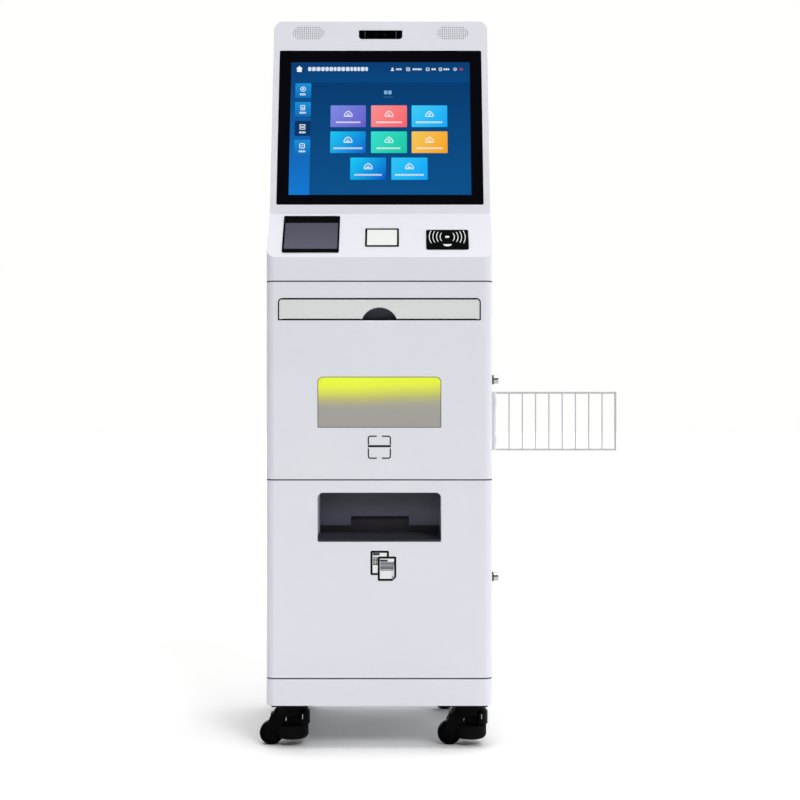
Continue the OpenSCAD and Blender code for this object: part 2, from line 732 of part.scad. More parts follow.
// Light box, lamp bar and camera behind the scan window
module scan_module() color(dark_grey) {
    y0 = front_y + sheet + 2;
    difference() {
        upright(y0, scan_depth) translate([0, scan_z + scan_h / 2]) rounded(scan_w + 12, scan_h + 12, 8);
        upright(y0 - 1, scan_depth - 1) translate([0, scan_z + scan_h / 2]) rounded(scan_w + 7, scan_h + 7, 6);
    }
    slab(-scan_w / 2, scan_w / 2, y0 + 6, y0 + scan_depth - 1, scan_z + scan_h - 10, scan_z + scan_h);
    translate([0, y0 + scan_depth - 1, scan_z + 40]) rotate([90, 0, 0]) cylinder(h = 14, r = 14);
}

// Light arch that lines the printer opening
module print_bay_liner() color(white_paint) upright(front_y + sheet, bay_depth) translate([0, bay_z])
    difference() {
        tombstone(bay_w + 2 * sheet, bay_h + sheet, opening_r + sheet);
        translate([0, -1]) tombstone(bay_w, bay_h + 1, opening_r);
    }

// Stepped fascia at the back of the bay
module print_hood() color(dark_grey) upright(front_y + bay_depth - 4, 5) difference() {
    translate([0, bay_z]) tombstone(bay_w - 0.3, bay_h - 0.15, opening_r - 0.15);
    translate([-bay_w / 2 - 1, bay_z - 1]) square([bay_w + 2, hood_up + 1]);
    translate([-hood_notch_w / 2, bay_z]) square([hood_notch_w, hood_notch_up]);
}

// Sloping tray with low cheeks
module output_tray() color(black) {
    y0 = front_y + 0.4;
    y1 = front_y + sheet + bay_depth + 8;
    z0 = bay_z + 0.4;
    z1 = bay_z + 11;
    across(bay_w - 4.4) polygon([[y0, z0], [y1, z1 - 3], [y1, z1], [y0, z0 + 3]]);
    for (s = [0, 1]) mirror([s, 0, 0]) translate([bay_w / 2 - 1.2, 0, 0]) across(2.4)
        polygon([[y0, z0 + 1.6], [y1, z1 - 3], [y1, z1 + 3], [y0, z1 + 3]]);
}

// Page printer with cassette front and paper exit
module printer() color([0.75, 0.75, 0.74]) {
    y0 = front_y + bay_depth + sheet + 10;
    z0 = printer_shelf_z + sheet;
    exit_z = bay_z + hood_notch_up - 7;
    w = 370;
    difference() {
        across(w) polygon([[y0 + 6, z0], [rear_y - 20, z0], [rear_y - 20, z0 + 190], [y0 + 60, z0 + 205],
            [y0, z0 + 190], [y0, z0 + 8]]);
        slab(-112, 112, y0 - 1, y0 + 40, exit_z, exit_z + 8);
        slab(-150, 150, y0 + 30, rear_y - 40, z0 + 70, z0 + 176);
        slab(-w / 2 - 1, w / 2 + 1, y0 - 1, y0 + 2, z0 + 62, z0 + 64);
        slab(-60, 60, y0 - 1, y0 + 14, z0 + 20, z0 + 40);
        for (i = [0:7]) slab(-w / 2 - 1, -w / 2 + 3, 40 + i * 12, 46 + i * 12, z0 + 60, z0 + 140);
    }
}

// Finned computer case on the upper shelf
module control_computer() color(dark_grey) {
    z0 = upper_z - seam / 2 + sheet / 2;
    slab(-130, 90, -20, 170, z0, z0 + 46);
    for (i = [0:13]) slab(-126 + i * 16, -120 + i * 16, -20, 170, z0 + 46, z0 + 62);
    slab(90, 96, 0, 60, z0 + 10, z0 + 34);
}

module power_supply() color(steel) difference() {
    slab(60, 200, 20, 180, lower_z, lower_z + 58);
    for (i = [0:8]) slab(70 + i * 14, 76 + i * 14, 15, 30, lower_z + 12, lower_z + 46);
}

module inlet_opening() slab(-174.5, -125.5, rear_y - 10, rear_y + 1, lower_z + 40.5, lower_z + 69.5);

// Mains inlet with three pins
module power_inlet() color(black) translate([-150, rear_y, lower_z + 55]) {
    difference() {
        union() {
            rotate([90, 0, 0]) translate([0, 0, -3]) linear_extrude(3) rounded(62, 36, 4);
            slab(-24, 24, -34, 1, -14, 14);
        }
        slab(-12.5, 12.5, -17, 4, -8, 8);
    }
    for (p = [[-7, -3], [7, -3], [0, 3]]) slab(p[0] - 1, p[0] + 1, -18, -2, p[1] - 2, p[1] + 2);
}

// Wire rack on a turning post
module side_rack() color(steel) translate([post_x, post_y, 0]) {
    top = rack_low + rack_h;
    translate([0, 0, rack_low - frame_wire_r]) cylinder(h = rack_h + 2 * frame_wire_r, r = post_r);
    for (z = [rack_low, top]) translate([0, 0, z]) rotate([0, 90, 0]) cylinder(h = rack_len, r = frame_wire_r);
    translate([rack_len, 0, rack_low - frame_wire_r]) cylinder(h = rack_h + 2 * frame_wire_r, r = frame_wire_r);
    for (i = [1:bar_count]) translate([post_r + i * (rack_len - post_r) / (bar_count + 1), 0, rack_low])
        cylinder(h = rack_h, r = bar_r);
    for (z = [rack_low + eye_up - 4, top - eye_up + 0.6]) translate([0, 0, z]) cylinder(h = 3.4, r = post_collar);
}

// Screwed plates with eyes for the rack post
module rack_brackets() color(steel) for (z = [rack_low + eye_up, rack_low + rack_h - eye_up - eye_h])
    translate([post_x, post_y, z]) difference() {
        union() {
            cylinder(h = eye_h, r = eye_r);
            slab(side_x - post_x, 0, -4, 4, 0, eye_h);
            slab(side_x - post_x, side_x - post_x + 2.4, -9, 30, -5, eye_h + 5);
        }
        translate([0, 0, -6]) cylinder(h = eye_h + 12, r = post_r + fit);
        for (z = [-6, eye_h]) translate([0, 0, z]) cylinder(h = 6, r = post_collar + 0.4);
        slab(-20, side_x - post_x, -20, 20, -10, eye_h + 10);
    }

// Square caster plates with riveted kingpins
module caster_plates() color(black) for (p = caster_at) translate(p) {
    difference() {
        translate([0, 0, caster_h - plate_t]) linear_extrude(plate_t) rounded(plate_w, plate_w, 5);
        for (sx = [-1, 1], sy = [-1, 1])
            translate([sx * (plate_w / 2 - 9), sy * (plate_w / 2 - 9), caster_h - plate_t - 1])
                cylinder(h = plate_t + 2, r = 3.6);
    }
    translate([0, 0, collar_z - 1]) cylinder(h = caster_h - plate_t - collar_z + 2, r = kingpin_r);
    translate([0, 0, collar_z - 2.5]) cylinder(h = 2, r = kingpin_r + 1.6);
}

// Side view of one fork cheek: from the collar down to the axle
module cheek_outline() {
    polygon([[-26, collar_top - 2], [4 - wheel_back - 9, 52], [-wheel_back - 9.6, 36],
        [-wheel_back - 9.4, wheel_r], [9.4 - wheel_back, wheel_r], [-24, 27], [slot_x - 1, 31],
        [slot_x - 1, thumb_z], [-9, collar_z - 4], [6, collar_z + 1], [6, collar_top - 2]]);
    translate([-wheel_back, wheel_r]) circle(10);
}

// Swivelling housing: collar, two cheeks, bridge over the wheel and a guard beside and behind the thumbwheel
module caster_fork() color(black) {
    difference() {
        union() {
            translate([0, 0, collar_z]) cylinder(h = collar_top - collar_z, r = collar_r);
            for (y = [-cheek_in, cheek_in + cheek_t]) translate([0, y, 0]) rotate([90, 0, 0])
                linear_extrude(cheek_t) cheek_outline();
            slab(-40, -12, -cheek_in - 1, cheek_in + 1, 2 * wheel_r + 3, collar_z + 2);
            intersection() {
                translate([pad_fore, 0, 0]) rotate_extrude() polygon([[guard_r - 4.4, guard_z], [guard_r, guard_z],
                    [guard_r, collar_z + 6], [guard_r - 6, collar_top - 6], [guard_r - 10, collar_top - 6],
                    [guard_r - 10, collar_z + 0.4], [guard_r - 4.4, collar_z + 0.4]]);
                union() {
                    slab(pad_fore + 9, 60, -40, 40, 0, 100);
                    slab(-4, 60, 12, 60, 0, 100);
                }
            }
        }
        translate([0, 0, collar_z - 1]) cylinder(h = 60, r = kingpin_r + fit);
        translate([0, 0, collar_z - 6]) cylinder(h = 6, r = kingpin_r + 2.6);
        translate([pad_fore, 0, collar_z - 1]) cylinder(h = 60, r = stud_r + fit);
        translate([-wheel_back, 0, wheel_r]) rotate([90, 0, 0]) cylinder(h = 60, r = axle_r + 0.02, center = true);
        slab(pad_fore + 9, 60, -1.6, 1.6, thumb_z + 3, thumb_z + thumb_h - 1);
    }
    translate([-wheel_back, 0, wheel_r]) rotate([90, 0, 0]) {
        cylinder(h = 2 * (cheek_in + cheek_t), r = axle_r, center = true);
        for (s = [-1, 1]) translate([0, 0, s * (cheek_in + cheek_t + 1.2)]) cylinder(h = 2.4, r = 6.5, center = true);
    }
}

// Solid wheel with a dished web and rounded tread
module caster_wheel() color(black) translate([-wheel_back, 0, wheel_r]) rotate([90, 0, 0]) rotate_extrude() {
    h = wheel_w / 2;
    r = wheel_r;
    b = axle_r + fit;
    polygon([[b, -h - 0.8], [9, -h - 0.8], [9, 2.5 - h], [r - 6, 3 - h], [r - 4.2, -h], [r - 2, -h],
        [r - 0.6, 1 - h], [r, 2.8 - h], [r, h - 2.8], [r - 0.6, h - 1], [r - 2, h], [r - 4.2, h],
        [r - 6, h - 3], [9, h - 2.5], [9, h + 0.8], [b, h + 0.8]]);
}

// Levelling pad with a tapered rim, a slot that clears the wheel and a socket for the adjuster
module caster_foot() color(black) difference() {
    r = pad_r;
    translate([pad_mid, 0, pad_clear]) rotate_extrude() polygon([[0, 0], [r - 5.6, 0], [r - 3.2, 1.4], [r - 0.8, 5],
        [r, 8], [r, pad_h - 3], [r - 1, pad_h - 1], [r - 3, pad_h], [0, pad_h]]);
    slab(-60, slot_x, -slot_y, slot_y, 0, 60);
    translate([pad_fore, 0, pad_clear + pad_h - 12.5]) cylinder(h = 20, r = neck_r + fit);
}

// Thumbwheel with its threaded stud
module caster_adjuster() color([0.16, 0.16, 0.17]) translate([pad_fore, 0, 0]) {
    difference() {
        translate([0, 0, thumb_z]) cylinder(h = thumb_h, r = thumb_r);
        for (i = [0:thumb_grooves - 1]) rotate(i * 360 / thumb_grooves)
            translate([thumb_r + 0.6, 0, thumb_z - 1]) cylinder(h = thumb_h + 2, r = 2, $fn = 24);
    }
    translate([0, 0, pad_clear + pad_h - 12]) cylinder(h = 15, r = neck_r);
    translate([0, 0, thumb_z + thumb_h - 1]) cylinder(h = collar_top - 0.4 - thumb_z - thumb_h + 1, r = stud_r);
}

module caster_fork_fl() translate(caster_at[0]) caster_fork();
module caster_fork_fr() translate(caster_at[1]) caster_fork();
module caster_fork_rl() translate(caster_at[2]) caster_fork();
module caster_fork_rr() translate(caster_at[3]) caster_fork();
module caster_wheel_fl() translate(caster_at[0]) caster_wheel();
module caster_wheel_fr() translate(caster_at[1]) caster_wheel();
module caster_wheel_rl() translate(caster_at[2]) caster_wheel();
module caster_wheel_rr() translate(caster_at[3]) caster_wheel();
module caster_foot_fl() translate(caster_at[0]) caster_foot();
module caster_foot_fr() translate(caster_at[1]) caster_foot();
module caster_foot_rl() translate(caster_at[2]) caster_foot();
module caster_foot_rr() translate(caster_at[3]) caster_foot();
module caster_adjuster_fl() translate(caster_at[0]) caster_adjuster();
module caster_adjuster_fr() translate(caster_at[1]) caster_adjuster();
module caster_adjuster_rl() translate(caster_at[2]) caster_adjuster();
module caster_adjuster_rr() translate(caster_at[3]) caster_adjuster();

base_plinth();
left_side_panel();
right_side_panel();
rear_panel();
top_plate();
shelves();
upper_door();
lower_door();
hinge_pins();
lock_strikes();
upper_lock_body();
upper_lock_plug();
lower_lock_body();
lower_lock_plug();
head_shell();
head_rear_cover();
touch_glass();
monitor_frame();
lcd_module();
camera_unit();
speaker_grilles();
speaker_drivers();
passport_reader();
passport_glass();
code_reader_frame();
code_reader_window();
card_reader();
drawer_front();
drawer_tray();
slide_outer();
slide_middle();
slide_inner();
scan_window();
scan_module();
print_bay_liner();
print_hood();
output_tray();
printer();
control_computer();
power_supply();
power_inlet();
side_rack();
rack_brackets();
caster_plates();
caster_fork_fl();
caster_fork_fr();
caster_fork_rl();
caster_fork_rr();
caster_wheel_fl();
caster_wheel_fr();
caster_wheel_rl();
caster_wheel_rr();
caster_foot_fl();
caster_foot_fr();
caster_foot_rl();
caster_foot_rr();
caster_adjuster_fl();
caster_adjuster_fr();
caster_adjuster_rl();
caster_adjuster_rr();
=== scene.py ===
import json
import math
import random

import bmesh
import bpy
from mathutils import Matrix, Vector


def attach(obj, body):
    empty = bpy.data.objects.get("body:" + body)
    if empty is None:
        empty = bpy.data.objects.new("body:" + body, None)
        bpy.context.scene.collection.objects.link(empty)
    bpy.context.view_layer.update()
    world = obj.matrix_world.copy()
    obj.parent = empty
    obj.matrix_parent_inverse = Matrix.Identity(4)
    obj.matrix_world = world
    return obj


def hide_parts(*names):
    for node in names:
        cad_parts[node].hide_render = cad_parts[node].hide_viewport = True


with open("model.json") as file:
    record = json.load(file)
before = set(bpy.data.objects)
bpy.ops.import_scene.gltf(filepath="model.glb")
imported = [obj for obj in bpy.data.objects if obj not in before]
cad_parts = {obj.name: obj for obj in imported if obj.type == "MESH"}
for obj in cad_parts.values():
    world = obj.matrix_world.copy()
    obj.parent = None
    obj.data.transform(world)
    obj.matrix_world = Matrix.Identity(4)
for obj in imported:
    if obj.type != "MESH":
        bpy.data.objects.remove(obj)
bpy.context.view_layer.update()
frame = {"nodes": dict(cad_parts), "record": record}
nodes = frame["nodes"]
slotOf = {row["node"]: row["material_slot"] for row in frame["record"]["subparts"]}
bodies = frame["record"]["behaviour"]["bodies"]
bodyOf = {member: body for body, members in bodies.items() for member in members}

mm = 0.001
scene = bpy.context.scene


def srgb(r, g, b):
    channels = []
    for c in (r / 255, g / 255, b / 255):
        channels.append(c / 12.92 if c <= 0.04045 else ((c + 0.055) / 1.055) ** 2.4)
    return tuple(channels)


def blend(a, b, t):
    return tuple(p + (q - p) * t for p, q in zip(a, b))


# Shader maths: a Wire is one output socket, and sums of wires write their own Math nodes
class Wire:
    def __init__(self, look, socket):
        self.look = look
        self.socket = socket

    def math(self, operation, first, second):
        return self.look.node("ShaderNodeMath", {0: first, 1: second}, operation=operation)

    def __add__(self, other):
        return self.math("ADD", self, other)

    def __sub__(self, other):
        return self.math("SUBTRACT", self, other)

    def __rsub__(self, other):
        return self.math("SUBTRACT", other, self)

    def __mul__(self, other):
        return self.math("MULTIPLY", self, other)

    def __truediv__(self, other):
        return self.math("DIVIDE", self, other)

    __radd__ = __add__
    __rmul__ = __mul__


# One finish: a Principled shader and the one method that makes its other nodes
class Look:
    def __init__(self, name, kind="materials", shader="Principled BSDF", coordinates="Object"):
        self.material = getattr(bpy.data, kind).new(name)
        self.material.use_nodes = True
        self.tree = self.material.node_tree
        self.shader = self.tree.nodes[shader]
        self.place = self.node("ShaderNodeTexCoord", out=coordinates)

    def feed(self, socket, value):
        if isinstance(value, Wire):
            self.tree.links.new(value.socket, socket)
        elif socket.type == "RGBA":
            socket.default_value = (*value[:3], 1.0)
        else:
            socket.default_value = value

    def node(self, kind, sockets=None, out=0, **settings):
        made = self.tree.nodes.new(kind)
        for key, value in settings.items():
            setattr(made, key, value)
        for key, value in (sockets or {}).items():
            self.feed(made.inputs[key], value)
        return Wire(self, made.outputs[out])

    def noise(self, scale, detail=2.0, stretch=None):
        place = self.place
        if stretch:
            place = self.node("ShaderNodeMapping", {"Vector": place, "Scale": stretch})
        return self.node("ShaderNodeTexNoise", {"Vector": place, "Scale": scale, "Detail": detail})

    def mix(self, factor, a, b):
        return self.node("ShaderNodeMix", {0: factor, 6: a, 7: b}, out=2, data_type="RGBA")

    def ramp(self, factor, stops):
        made = self.node("ShaderNodeValToRGB", {"Fac": factor})
        elements = made.socket.node.color_ramp.elements
        while len(elements) < len(stops):
            elements.new(0.5)
        for stop, (at, colour) in zip(elements, stops):
            stop.position = at
            stop.color = (*colour, 1.0)
        return made

    def slide(self, value, low, high):
        sockets = {0: value, 1: low, 2: high}
        return self.node("ShaderNodeMapRange", sockets, interpolation_type="SMOOTHSTEP", clamp=True)

    def along(self, direction, start=(0, 0, 0)):
        # metres from a start point along a direction
        offset = self.node("ShaderNodeVectorMath", {0: self.place, 1: start}, operation="SUBTRACT")
        return self.node("ShaderNodeVectorMath", {0: offset, 1: direction}, out=1, operation="DOT_PRODUCT")

    def faded(self, colour, s):
        # the rack is greyer out on its wires; the hood is paler at its foot, a painted highlight, and the
        # tray darker at its front, a painted shade
        if "fadeTo" not in s:
            return colour
        share = self.slide(self.along(s["fadeAlong"]), *s["fadeSpan"])
        return self.mix(share, colour, s["fadeTo"])

    def bump(self, height, strength, distance):
        sockets = {"Height": height, "Strength": strength, "Distance": distance}
        return self.node("ShaderNodeBump", sockets)

    def tint(self):
        return self.node("ShaderNodeAttribute", attribute_name="tint")

    def shade(self, values):
        for key, value in values.items():
            self.feed(self.shader.inputs[key], value)
        return self.material

    def litShade(self, colour, rough, glow, gloss):
        return self.shade({"Base Color": colour, "Roughness": rough, "Emission Color": colour,
                           "Emission Strength": glow, "Specular IOR Level": gloss})


# Finishes, one for each of the record's slots and a few for single pieces
paintSettings = {
    "white": {"tones": (srgb(231, 232, 239), srgb(224, 225, 234)), "rough": 0.44, "peel": 0.10},
    "drawer": {"tones": (srgb(226, 229, 228), srgb(219, 223, 222)), "rough": 0.4, "peel": 0.08},
    "liner": {"tones": (srgb(216, 217, 225), srgb(206, 207, 216)), "rough": 0.5, "peel": 0.1},
    "rack": {"tones": (srgb(224, 225, 228), srgb(212, 213, 217)), "rough": 0.38, "peel": 0.06,
             "fadeTo": srgb(189, 190, 193), "fadeAlong": (1, 0, 0), "fadeSpan": (0.2385, 0.2400)},
    "caster": {"tones": (srgb(6, 6, 7), srgb(3, 3, 4)), "rough": 0.34, "peel": 0.2, "gloss": 0.035},
}


def powderCoat(name, kind):
    s = paintSettings[kind]
    look = Look(name)
    drift = look.noise(2.4, 3.0)
    peel = look.noise(620.0)
    speck = look.noise(2400.0, 1.0)
    handled = look.slide(look.noise(9.0, 4.0), 0.55, 0.8)
    colour = look.faded(look.mix(drift, *s["tones"]), s)
    return look.shade({
        "Base Color": look.mix(0.06 * speck, colour, s["tones"][1]),
        "Roughness": s["rough"] + 0.12 * (peel - 0.5) - 0.08 * handled,
        "Normal": look.bump(peel + 0.35 * speck, s["peel"], 0.0002),
        "Specular IOR Level": s.get("gloss", 0.4),
    })


steelSettings = {"tones": ((0.46, 0.47, 0.49), (0.62, 0.63, 0.65)), "rough": 0.34}


def zincedSteel(name, s):
    look = Look(name)
    grain = look.noise(60.0, 4.0, (1.0, 24.0, 24.0))
    spangle = look.node("ShaderNodeTexVoronoi", {"Vector": look.place, "Scale": 130.0}, out="Color")
    patch = look.node("ShaderNodeSeparateColor", {0: spangle})
    return look.shade({
        "Base Color": look.mix(0.55 * grain + 0.35 * patch, *s["tones"]),
        "Metallic": 1.0,
        "Roughness": s["rough"] + 0.14 * (grain - 0.5) + 0.06 * patch,
        "Normal": look.bump(grain, 0.05, 0.0001),
    })


chromeSettings = {"tones": ((0.38, 0.38, 0.41), (0.56, 0.56, 0.58)), "rough": 0.15}


def turnedChrome(name, s):
    look = Look(name)
    lathe = look.noise(900.0, 2.0, (1.0, 0.05, 0.05))
    rub = look.noise(90.0, 4.0)
    return look.shade({
        "Base Color": look.mix(rub, *s["tones"]),
        "Metallic": 1.0,
        "Roughness": s["rough"] + 0.12 * rub + 0.05 * lathe,
        "Normal": look.bump(lathe, 0.08, 0.00005),
    })


glassSettings = {"tones": ((0.0022, 0.0022, 0.0034), (0.004, 0.004, 0.006)), "rough": 0.05}


def blackGlass(name, s):
    look = Look(name)
    smear = look.slide(look.noise(16.0, 5.0, (1.0, 1.0, 0.4)), 0.5, 0.75)
    dust = look.noise(1800.0, 1.0)
    return look.shade({
        "Base Color": look.mix(dust, *s["tones"]),
        "Roughness": s["rough"] + 0.10 * smear,
        "Specular IOR Level": 0.05,
    })


# the dark grey plastic is the base of the other kinds
plasticSettings = {
    "dark": {"tones": (srgb(66, 66, 76), srgb(57, 57, 67)), "rough": 0.5, "grain": 0.25, "gloss": 0.3},
    "black": {"tones": (srgb(6, 6, 7), srgb(3, 3, 4)), "rough": 0.34, "grain": 0.1, "gloss": 0.008},
    "case": {"tones": (srgb(88, 88, 97), srgb(79, 79, 88)), "rough": 0.55, "grain": 0.3, "gloss": 0.2},
    "nylon": {"tones": (srgb(6, 6, 7), srgb(3, 3, 4)), "rough": 0.38, "grain": 0.15, "gloss": 0.035},
    "rubber": {"tones": (srgb(12, 12, 13), srgb(7, 7, 8)), "rough": 0.7, "grain": 0.4, "gloss": 0.06},
    # painted highlight: the hood grows paler towards its lower edge, where the light catches it
    "hood": {"tones": (srgb(72, 72, 83), srgb(63, 63, 73)),
             "fadeTo": srgb(119, 119, 137), "fadeAlong": (0, 0, -1), "fadeSpan": (-0.506, -0.444)},
    # painted shade: the tray darkens towards its front edge, where the shadow line under its lip falls
    "tray": {"tones": (srgb(84, 86, 97), srgb(75, 77, 88)), "rough": 0.42,
             "fadeTo": srgb(47, 49, 56), "fadeAlong": (0, -1, 0), "fadeSpan": (0.125, 0.221)},
    "drawer": {"tones": (srgb(106, 111, 126), srgb(97, 102, 116))},
    "foam": {"tones": (srgb(112, 112, 118), srgb(98, 98, 104)), "rough": 0.9, "grain": 0.6, "gloss": 0.05},
}


def mouldedPlastic(name, kind):
    s = {**plasticSettings["dark"], **plasticSettings[kind]}
    look = Look(name)
    drift = look.noise(14.0, 3.0)
    cells = look.node("ShaderNodeTexVoronoi", {"Vector": look.place, "Scale": 1500.0}, out="Distance")
    scuff = look.slide(look.noise(38.0, 6.0), 0.58, 0.75)
    return look.shade({
        "Base Color": look.faded(look.mix(drift, *s["tones"]), s),
        "Roughness": s["rough"] + 0.10 * scuff + 0.06 * (cells - 0.5),
        "Normal": look.bump(cells, s["grain"], 0.0001),
        "Specular IOR Level": s["gloss"],
    })


finSettings = {"tones": ((0.04, 0.04, 0.046), (0.06, 0.06, 0.066)), "rough": 0.38}


def anodised(name, s):
    look = Look(name)
    lay = look.noise(240.0, 3.0, (1.0, 0.04, 1.0))
    return look.shade({
        "Base Color": look.mix(lay, *s["tones"]),
        "Metallic": 0.65,
        "Roughness": s["rough"] + 0.12 * (lay - 0.5),
        "Normal": look.bump(lay, 0.08, 0.0001),
    })


# Face frames: drawings are in millimetres, x across, y up the face, z out of it
def faceFrame(origin, across, up, out):
    turn = Matrix((across, up, out)).transposed().to_4x4()
    return Matrix.Translation(Vector(origin) * mm) @ turn @ Matrix.Scale(mm, 4)


kiosk = {"front": -225.0, "rear": 225.0, "side": 227.25, "deckFoot": 987.0, "deckLength": 128.0,
         "deckSlope": 49.3, "panelLean": 15.3}


def slope(degrees):
    # the way up a sloped face and the way out of it
    turn = math.radians(degrees)
    return Vector((0, math.cos(turn), math.sin(turn))), Vector((0, -math.sin(turn), math.cos(turn)))


deckUp, deckOut = slope(kiosk["deckSlope"])
panelUp, panelOut = slope(90.0 - kiosk["panelLean"])
deckFoot = Vector((0, kiosk["front"], kiosk["deckFoot"]))
panelFoot = deckFoot + deckUp * kiosk["deckLength"]
right = Vector((1, 0, 0))
upward = Vector((0, 0, 1))
onDeck = faceFrame(deckFoot, right, deckUp, deckOut)
onPanel = faceFrame(panelFoot, right, panelUp, panelOut)
onDoor = faceFrame((0, kiosk["front"], 0), right, upward, (0, -1, 0))
onRear = faceFrame((0, kiosk["rear"], 0), -right, upward, (0, 1, 0))
onRight = faceFrame((kiosk["side"], 0, 0), (0, 1, 0), upward, right)
onPlan = faceFrame((0, 0, 0), right, (0, 1, 0), upward)


# Outlines, anticlockwise lists of x and y
def arcPoints(cx, cy, r, start, end, steps):
    turns = [math.radians(start + (end - start) * i / steps) for i in range(steps + 1)]
    return [(cx + r * math.cos(t), cy + r * math.sin(t)) for t in turns]


def roundBox(cx, cy, w, h, r, steps=5, footR=None):
    # the two lower corners may have a radius of their own
    outline = []
    for sx, sy, start in ((1, 1, 0), (-1, 1, 90), (-1, -1, 180), (1, -1, 270)):
        bend = r if footR is None or sy > 0 else footR
        bend = min(bend, w / 2 - 0.001, h / 2 - 0.001)
        corner = (cx + sx * (w / 2 - bend), cy + sy * (h / 2 - bend))
        outline += arcPoints(*corner, bend, start, start + 90, steps)
    return outline


def disc(cx, cy, r, steps=28):
    return arcPoints(cx, cy, r, 0, 360 - 360 / steps, steps - 1)


def softCorners(points, r, steps=4):
    # rounds each corner of an outline
    spots = [Vector(point) for point in points]
    outline = []
    for i, here in enumerate(spots):
        back = (spots[i - 1] - here).normalized()
        ahead = (spots[(i + 1) % len(spots)] - here).normalized()
        half = back.angle(ahead) / 2
        reach = r / math.tan(half)
        start, end = here + back * reach, here + ahead * reach
        middle = here + (back + ahead).normalized() * (r / math.sin(half))
        for k in range(steps + 1):
            spoke = (start - middle).lerp(end - middle, k / steps).normalized()
            outline.append(tuple(middle + spoke * r))
    return outline


def shrink(outline, amount):
    # moves each point of an outline inwards along its mitre
    spots = [Vector(point) for point in outline]
    inner = []
    for i, here in enumerate(spots):
        a = (here - spots[i - 1]).normalized()
        b = (spots[(i + 1) % len(spots)] - here).normalized()
        left = (a + b).orthogonal().normalized()
        inner.append(tuple(here + left * amount / max(0.3, left.dot(a.orthogonal()))))
    return inner


def strip(points, width):
    # a line of the given width along a path
    spots = [Vector(point) for point in points]
    leftSide, rightSide = [], []
    for i, here in enumerate(spots):
        behind = (here - spots[max(i - 1, 0)]).normalized()
        ahead = (spots[min(i + 1, len(spots) - 1)] - here).normalized()
        side = (ahead + behind).normalized().orthogonal()
        along = ahead if ahead.length else behind
        reach = side * width / 2 / max(0.4, side.dot(along.orthogonal()))
        leftSide.append(tuple(here + reach))
        rightSide.append(tuple(here - reach))
    return rightSide + leftSide[::-1]


# A Print gathers thin closed slabs on one face and makes them one tinted piece
class Print:
    def __init__(self, place):
        self.place = place
        self.bm = bmesh.new()
        self.tints = self.bm.loops.layers.float_color.new("tint")

    def paint(self, faces, tint):
        for face in faces:
            for loop in face.loops:
                colour = tint(loop.vert.co.x, loop.vert.co.y) if callable(tint) else tint
                loop[self.tints] = (*colour[:3], 1.0)

    def ringOf(self, outline, z):
        return [self.bm.verts.new((x, y, z)) for x, y in outline]

    def wall(self, low, high):
        count = len(low)
        return [self.bm.faces.new((low[i], low[(i + 1) % count], high[(i + 1) % count], high[i]))
                for i in range(count)]

    def slab(self, outline, low, high, tint):
        under, over = self.ringOf(outline, low), self.ringOf(outline, high)
        faces = [self.bm.faces.new(over), self.bm.faces.new(under[::-1])] + self.wall(under, over)
        self.paint(faces, tint)

    def band(self, outer, inner, low, high, tint):
        underOut, overOut = self.ringOf(outer, low), self.ringOf(outer, high)
        underIn, overIn = self.ringOf(inner, low), self.ringOf(inner, high)
        faces = self.wall(underOut, overOut) + self.wall(overIn, underIn)
        faces += self.wall(overOut, overIn) + self.wall(underIn, underOut)
        self.paint(faces, tint)

    def piece(self, name, material, body, slot):
        mesh = bpy.data.meshes.new(name)
        self.bm.to_mesh(mesh)
        self.bm.free()
        mesh.transform(self.place)
        settle(name, mesh, material, body)


def putInScene(name, data):
    made = bpy.data.objects.new(name, data)
    scene.collection.objects.link(made)
    return made


def settle(name, mesh, material, body):
    # hands a finished mesh to its body, with its finish
    mesh.name = name
    mesh.materials.clear()
    mesh.materials.append(material)
    piece = putInScene(name, mesh)
    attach(piece, body)
    return piece


def plainMesh(holder):
    # an object's mesh with its modifiers worked out; the object is removed
    graph = bpy.context.evaluated_depsgraph_get()
    mesh = bpy.data.meshes.new_from_object(holder.evaluated_get(graph))
    old = holder.data
    bpy.data.objects.remove(holder)
    bpy.data.meshes.remove(old)
    return mesh


readerGlassSettings = {"tones": (srgb(98, 98, 113), srgb(82, 82, 96)), "rough": 0.16, "span": (-30.0, 110.0)}


def readerPane(name, s):
    look = Look(name)
    up = look.along(tuple(deckUp), tuple(deckFoot * mm))
    climb = look.slide(up, *[edge * mm for edge in s["span"]])
    smear = look.slide(look.noise(30.0, 5.0), 0.5, 0.8)
    return look.shade({
        "Base Color": look.mix(climb, *s["tones"]),
        "Roughness": s["rough"] + 0.14 * smear,
        "Specular IOR Level": 0.02,
    })


codePaneSettings = {"tones": (srgb(238, 239, 236), srgb(230, 231, 227)), "glow": 0.04, "rough": 0.22}


def opalPane(name, s):
    look = Look(name)
    haze = look.noise(45.0, 3.0)
    colour = look.mix(haze, *s["tones"])
    return look.litShade(colour, s["rough"] + 0.06 * haze, s["glow"], 0.05)


scanPaneSettings = {"bottom": 646.2, "top": 745.8, "glow": 0.22, "rough": 0.3, "lean": 0.6, "fade": [
    (0.0, srgb(153, 150, 144)), (0.36, srgb(153, 151, 145)), (0.45, srgb(160, 156, 139)),
    (0.58, srgb(177, 177, 111)), (0.70, srgb(200, 205, 88)), (0.84, srgb(220, 228, 69)),
    (0.97, srgb(222, 235, 64))]}


def litScanPane(name, s):
    look = Look(name)
    height = look.along((0, 0, 1), (0, 0, s["bottom"] * mm))
    sideways = look.along((1, 0, 0))
    drift = look.noise(6.0)
    span = (s["top"] - s["bottom"]) * mm
    share = height / span
    share = share - s["lean"] * sideways * share + 0.10 * (drift - 0.5)
    colour = look.ramp(share, s["fade"])
    return look.litShade(colour, s["rough"] + 0.05 * drift, s["glow"], 0.15)


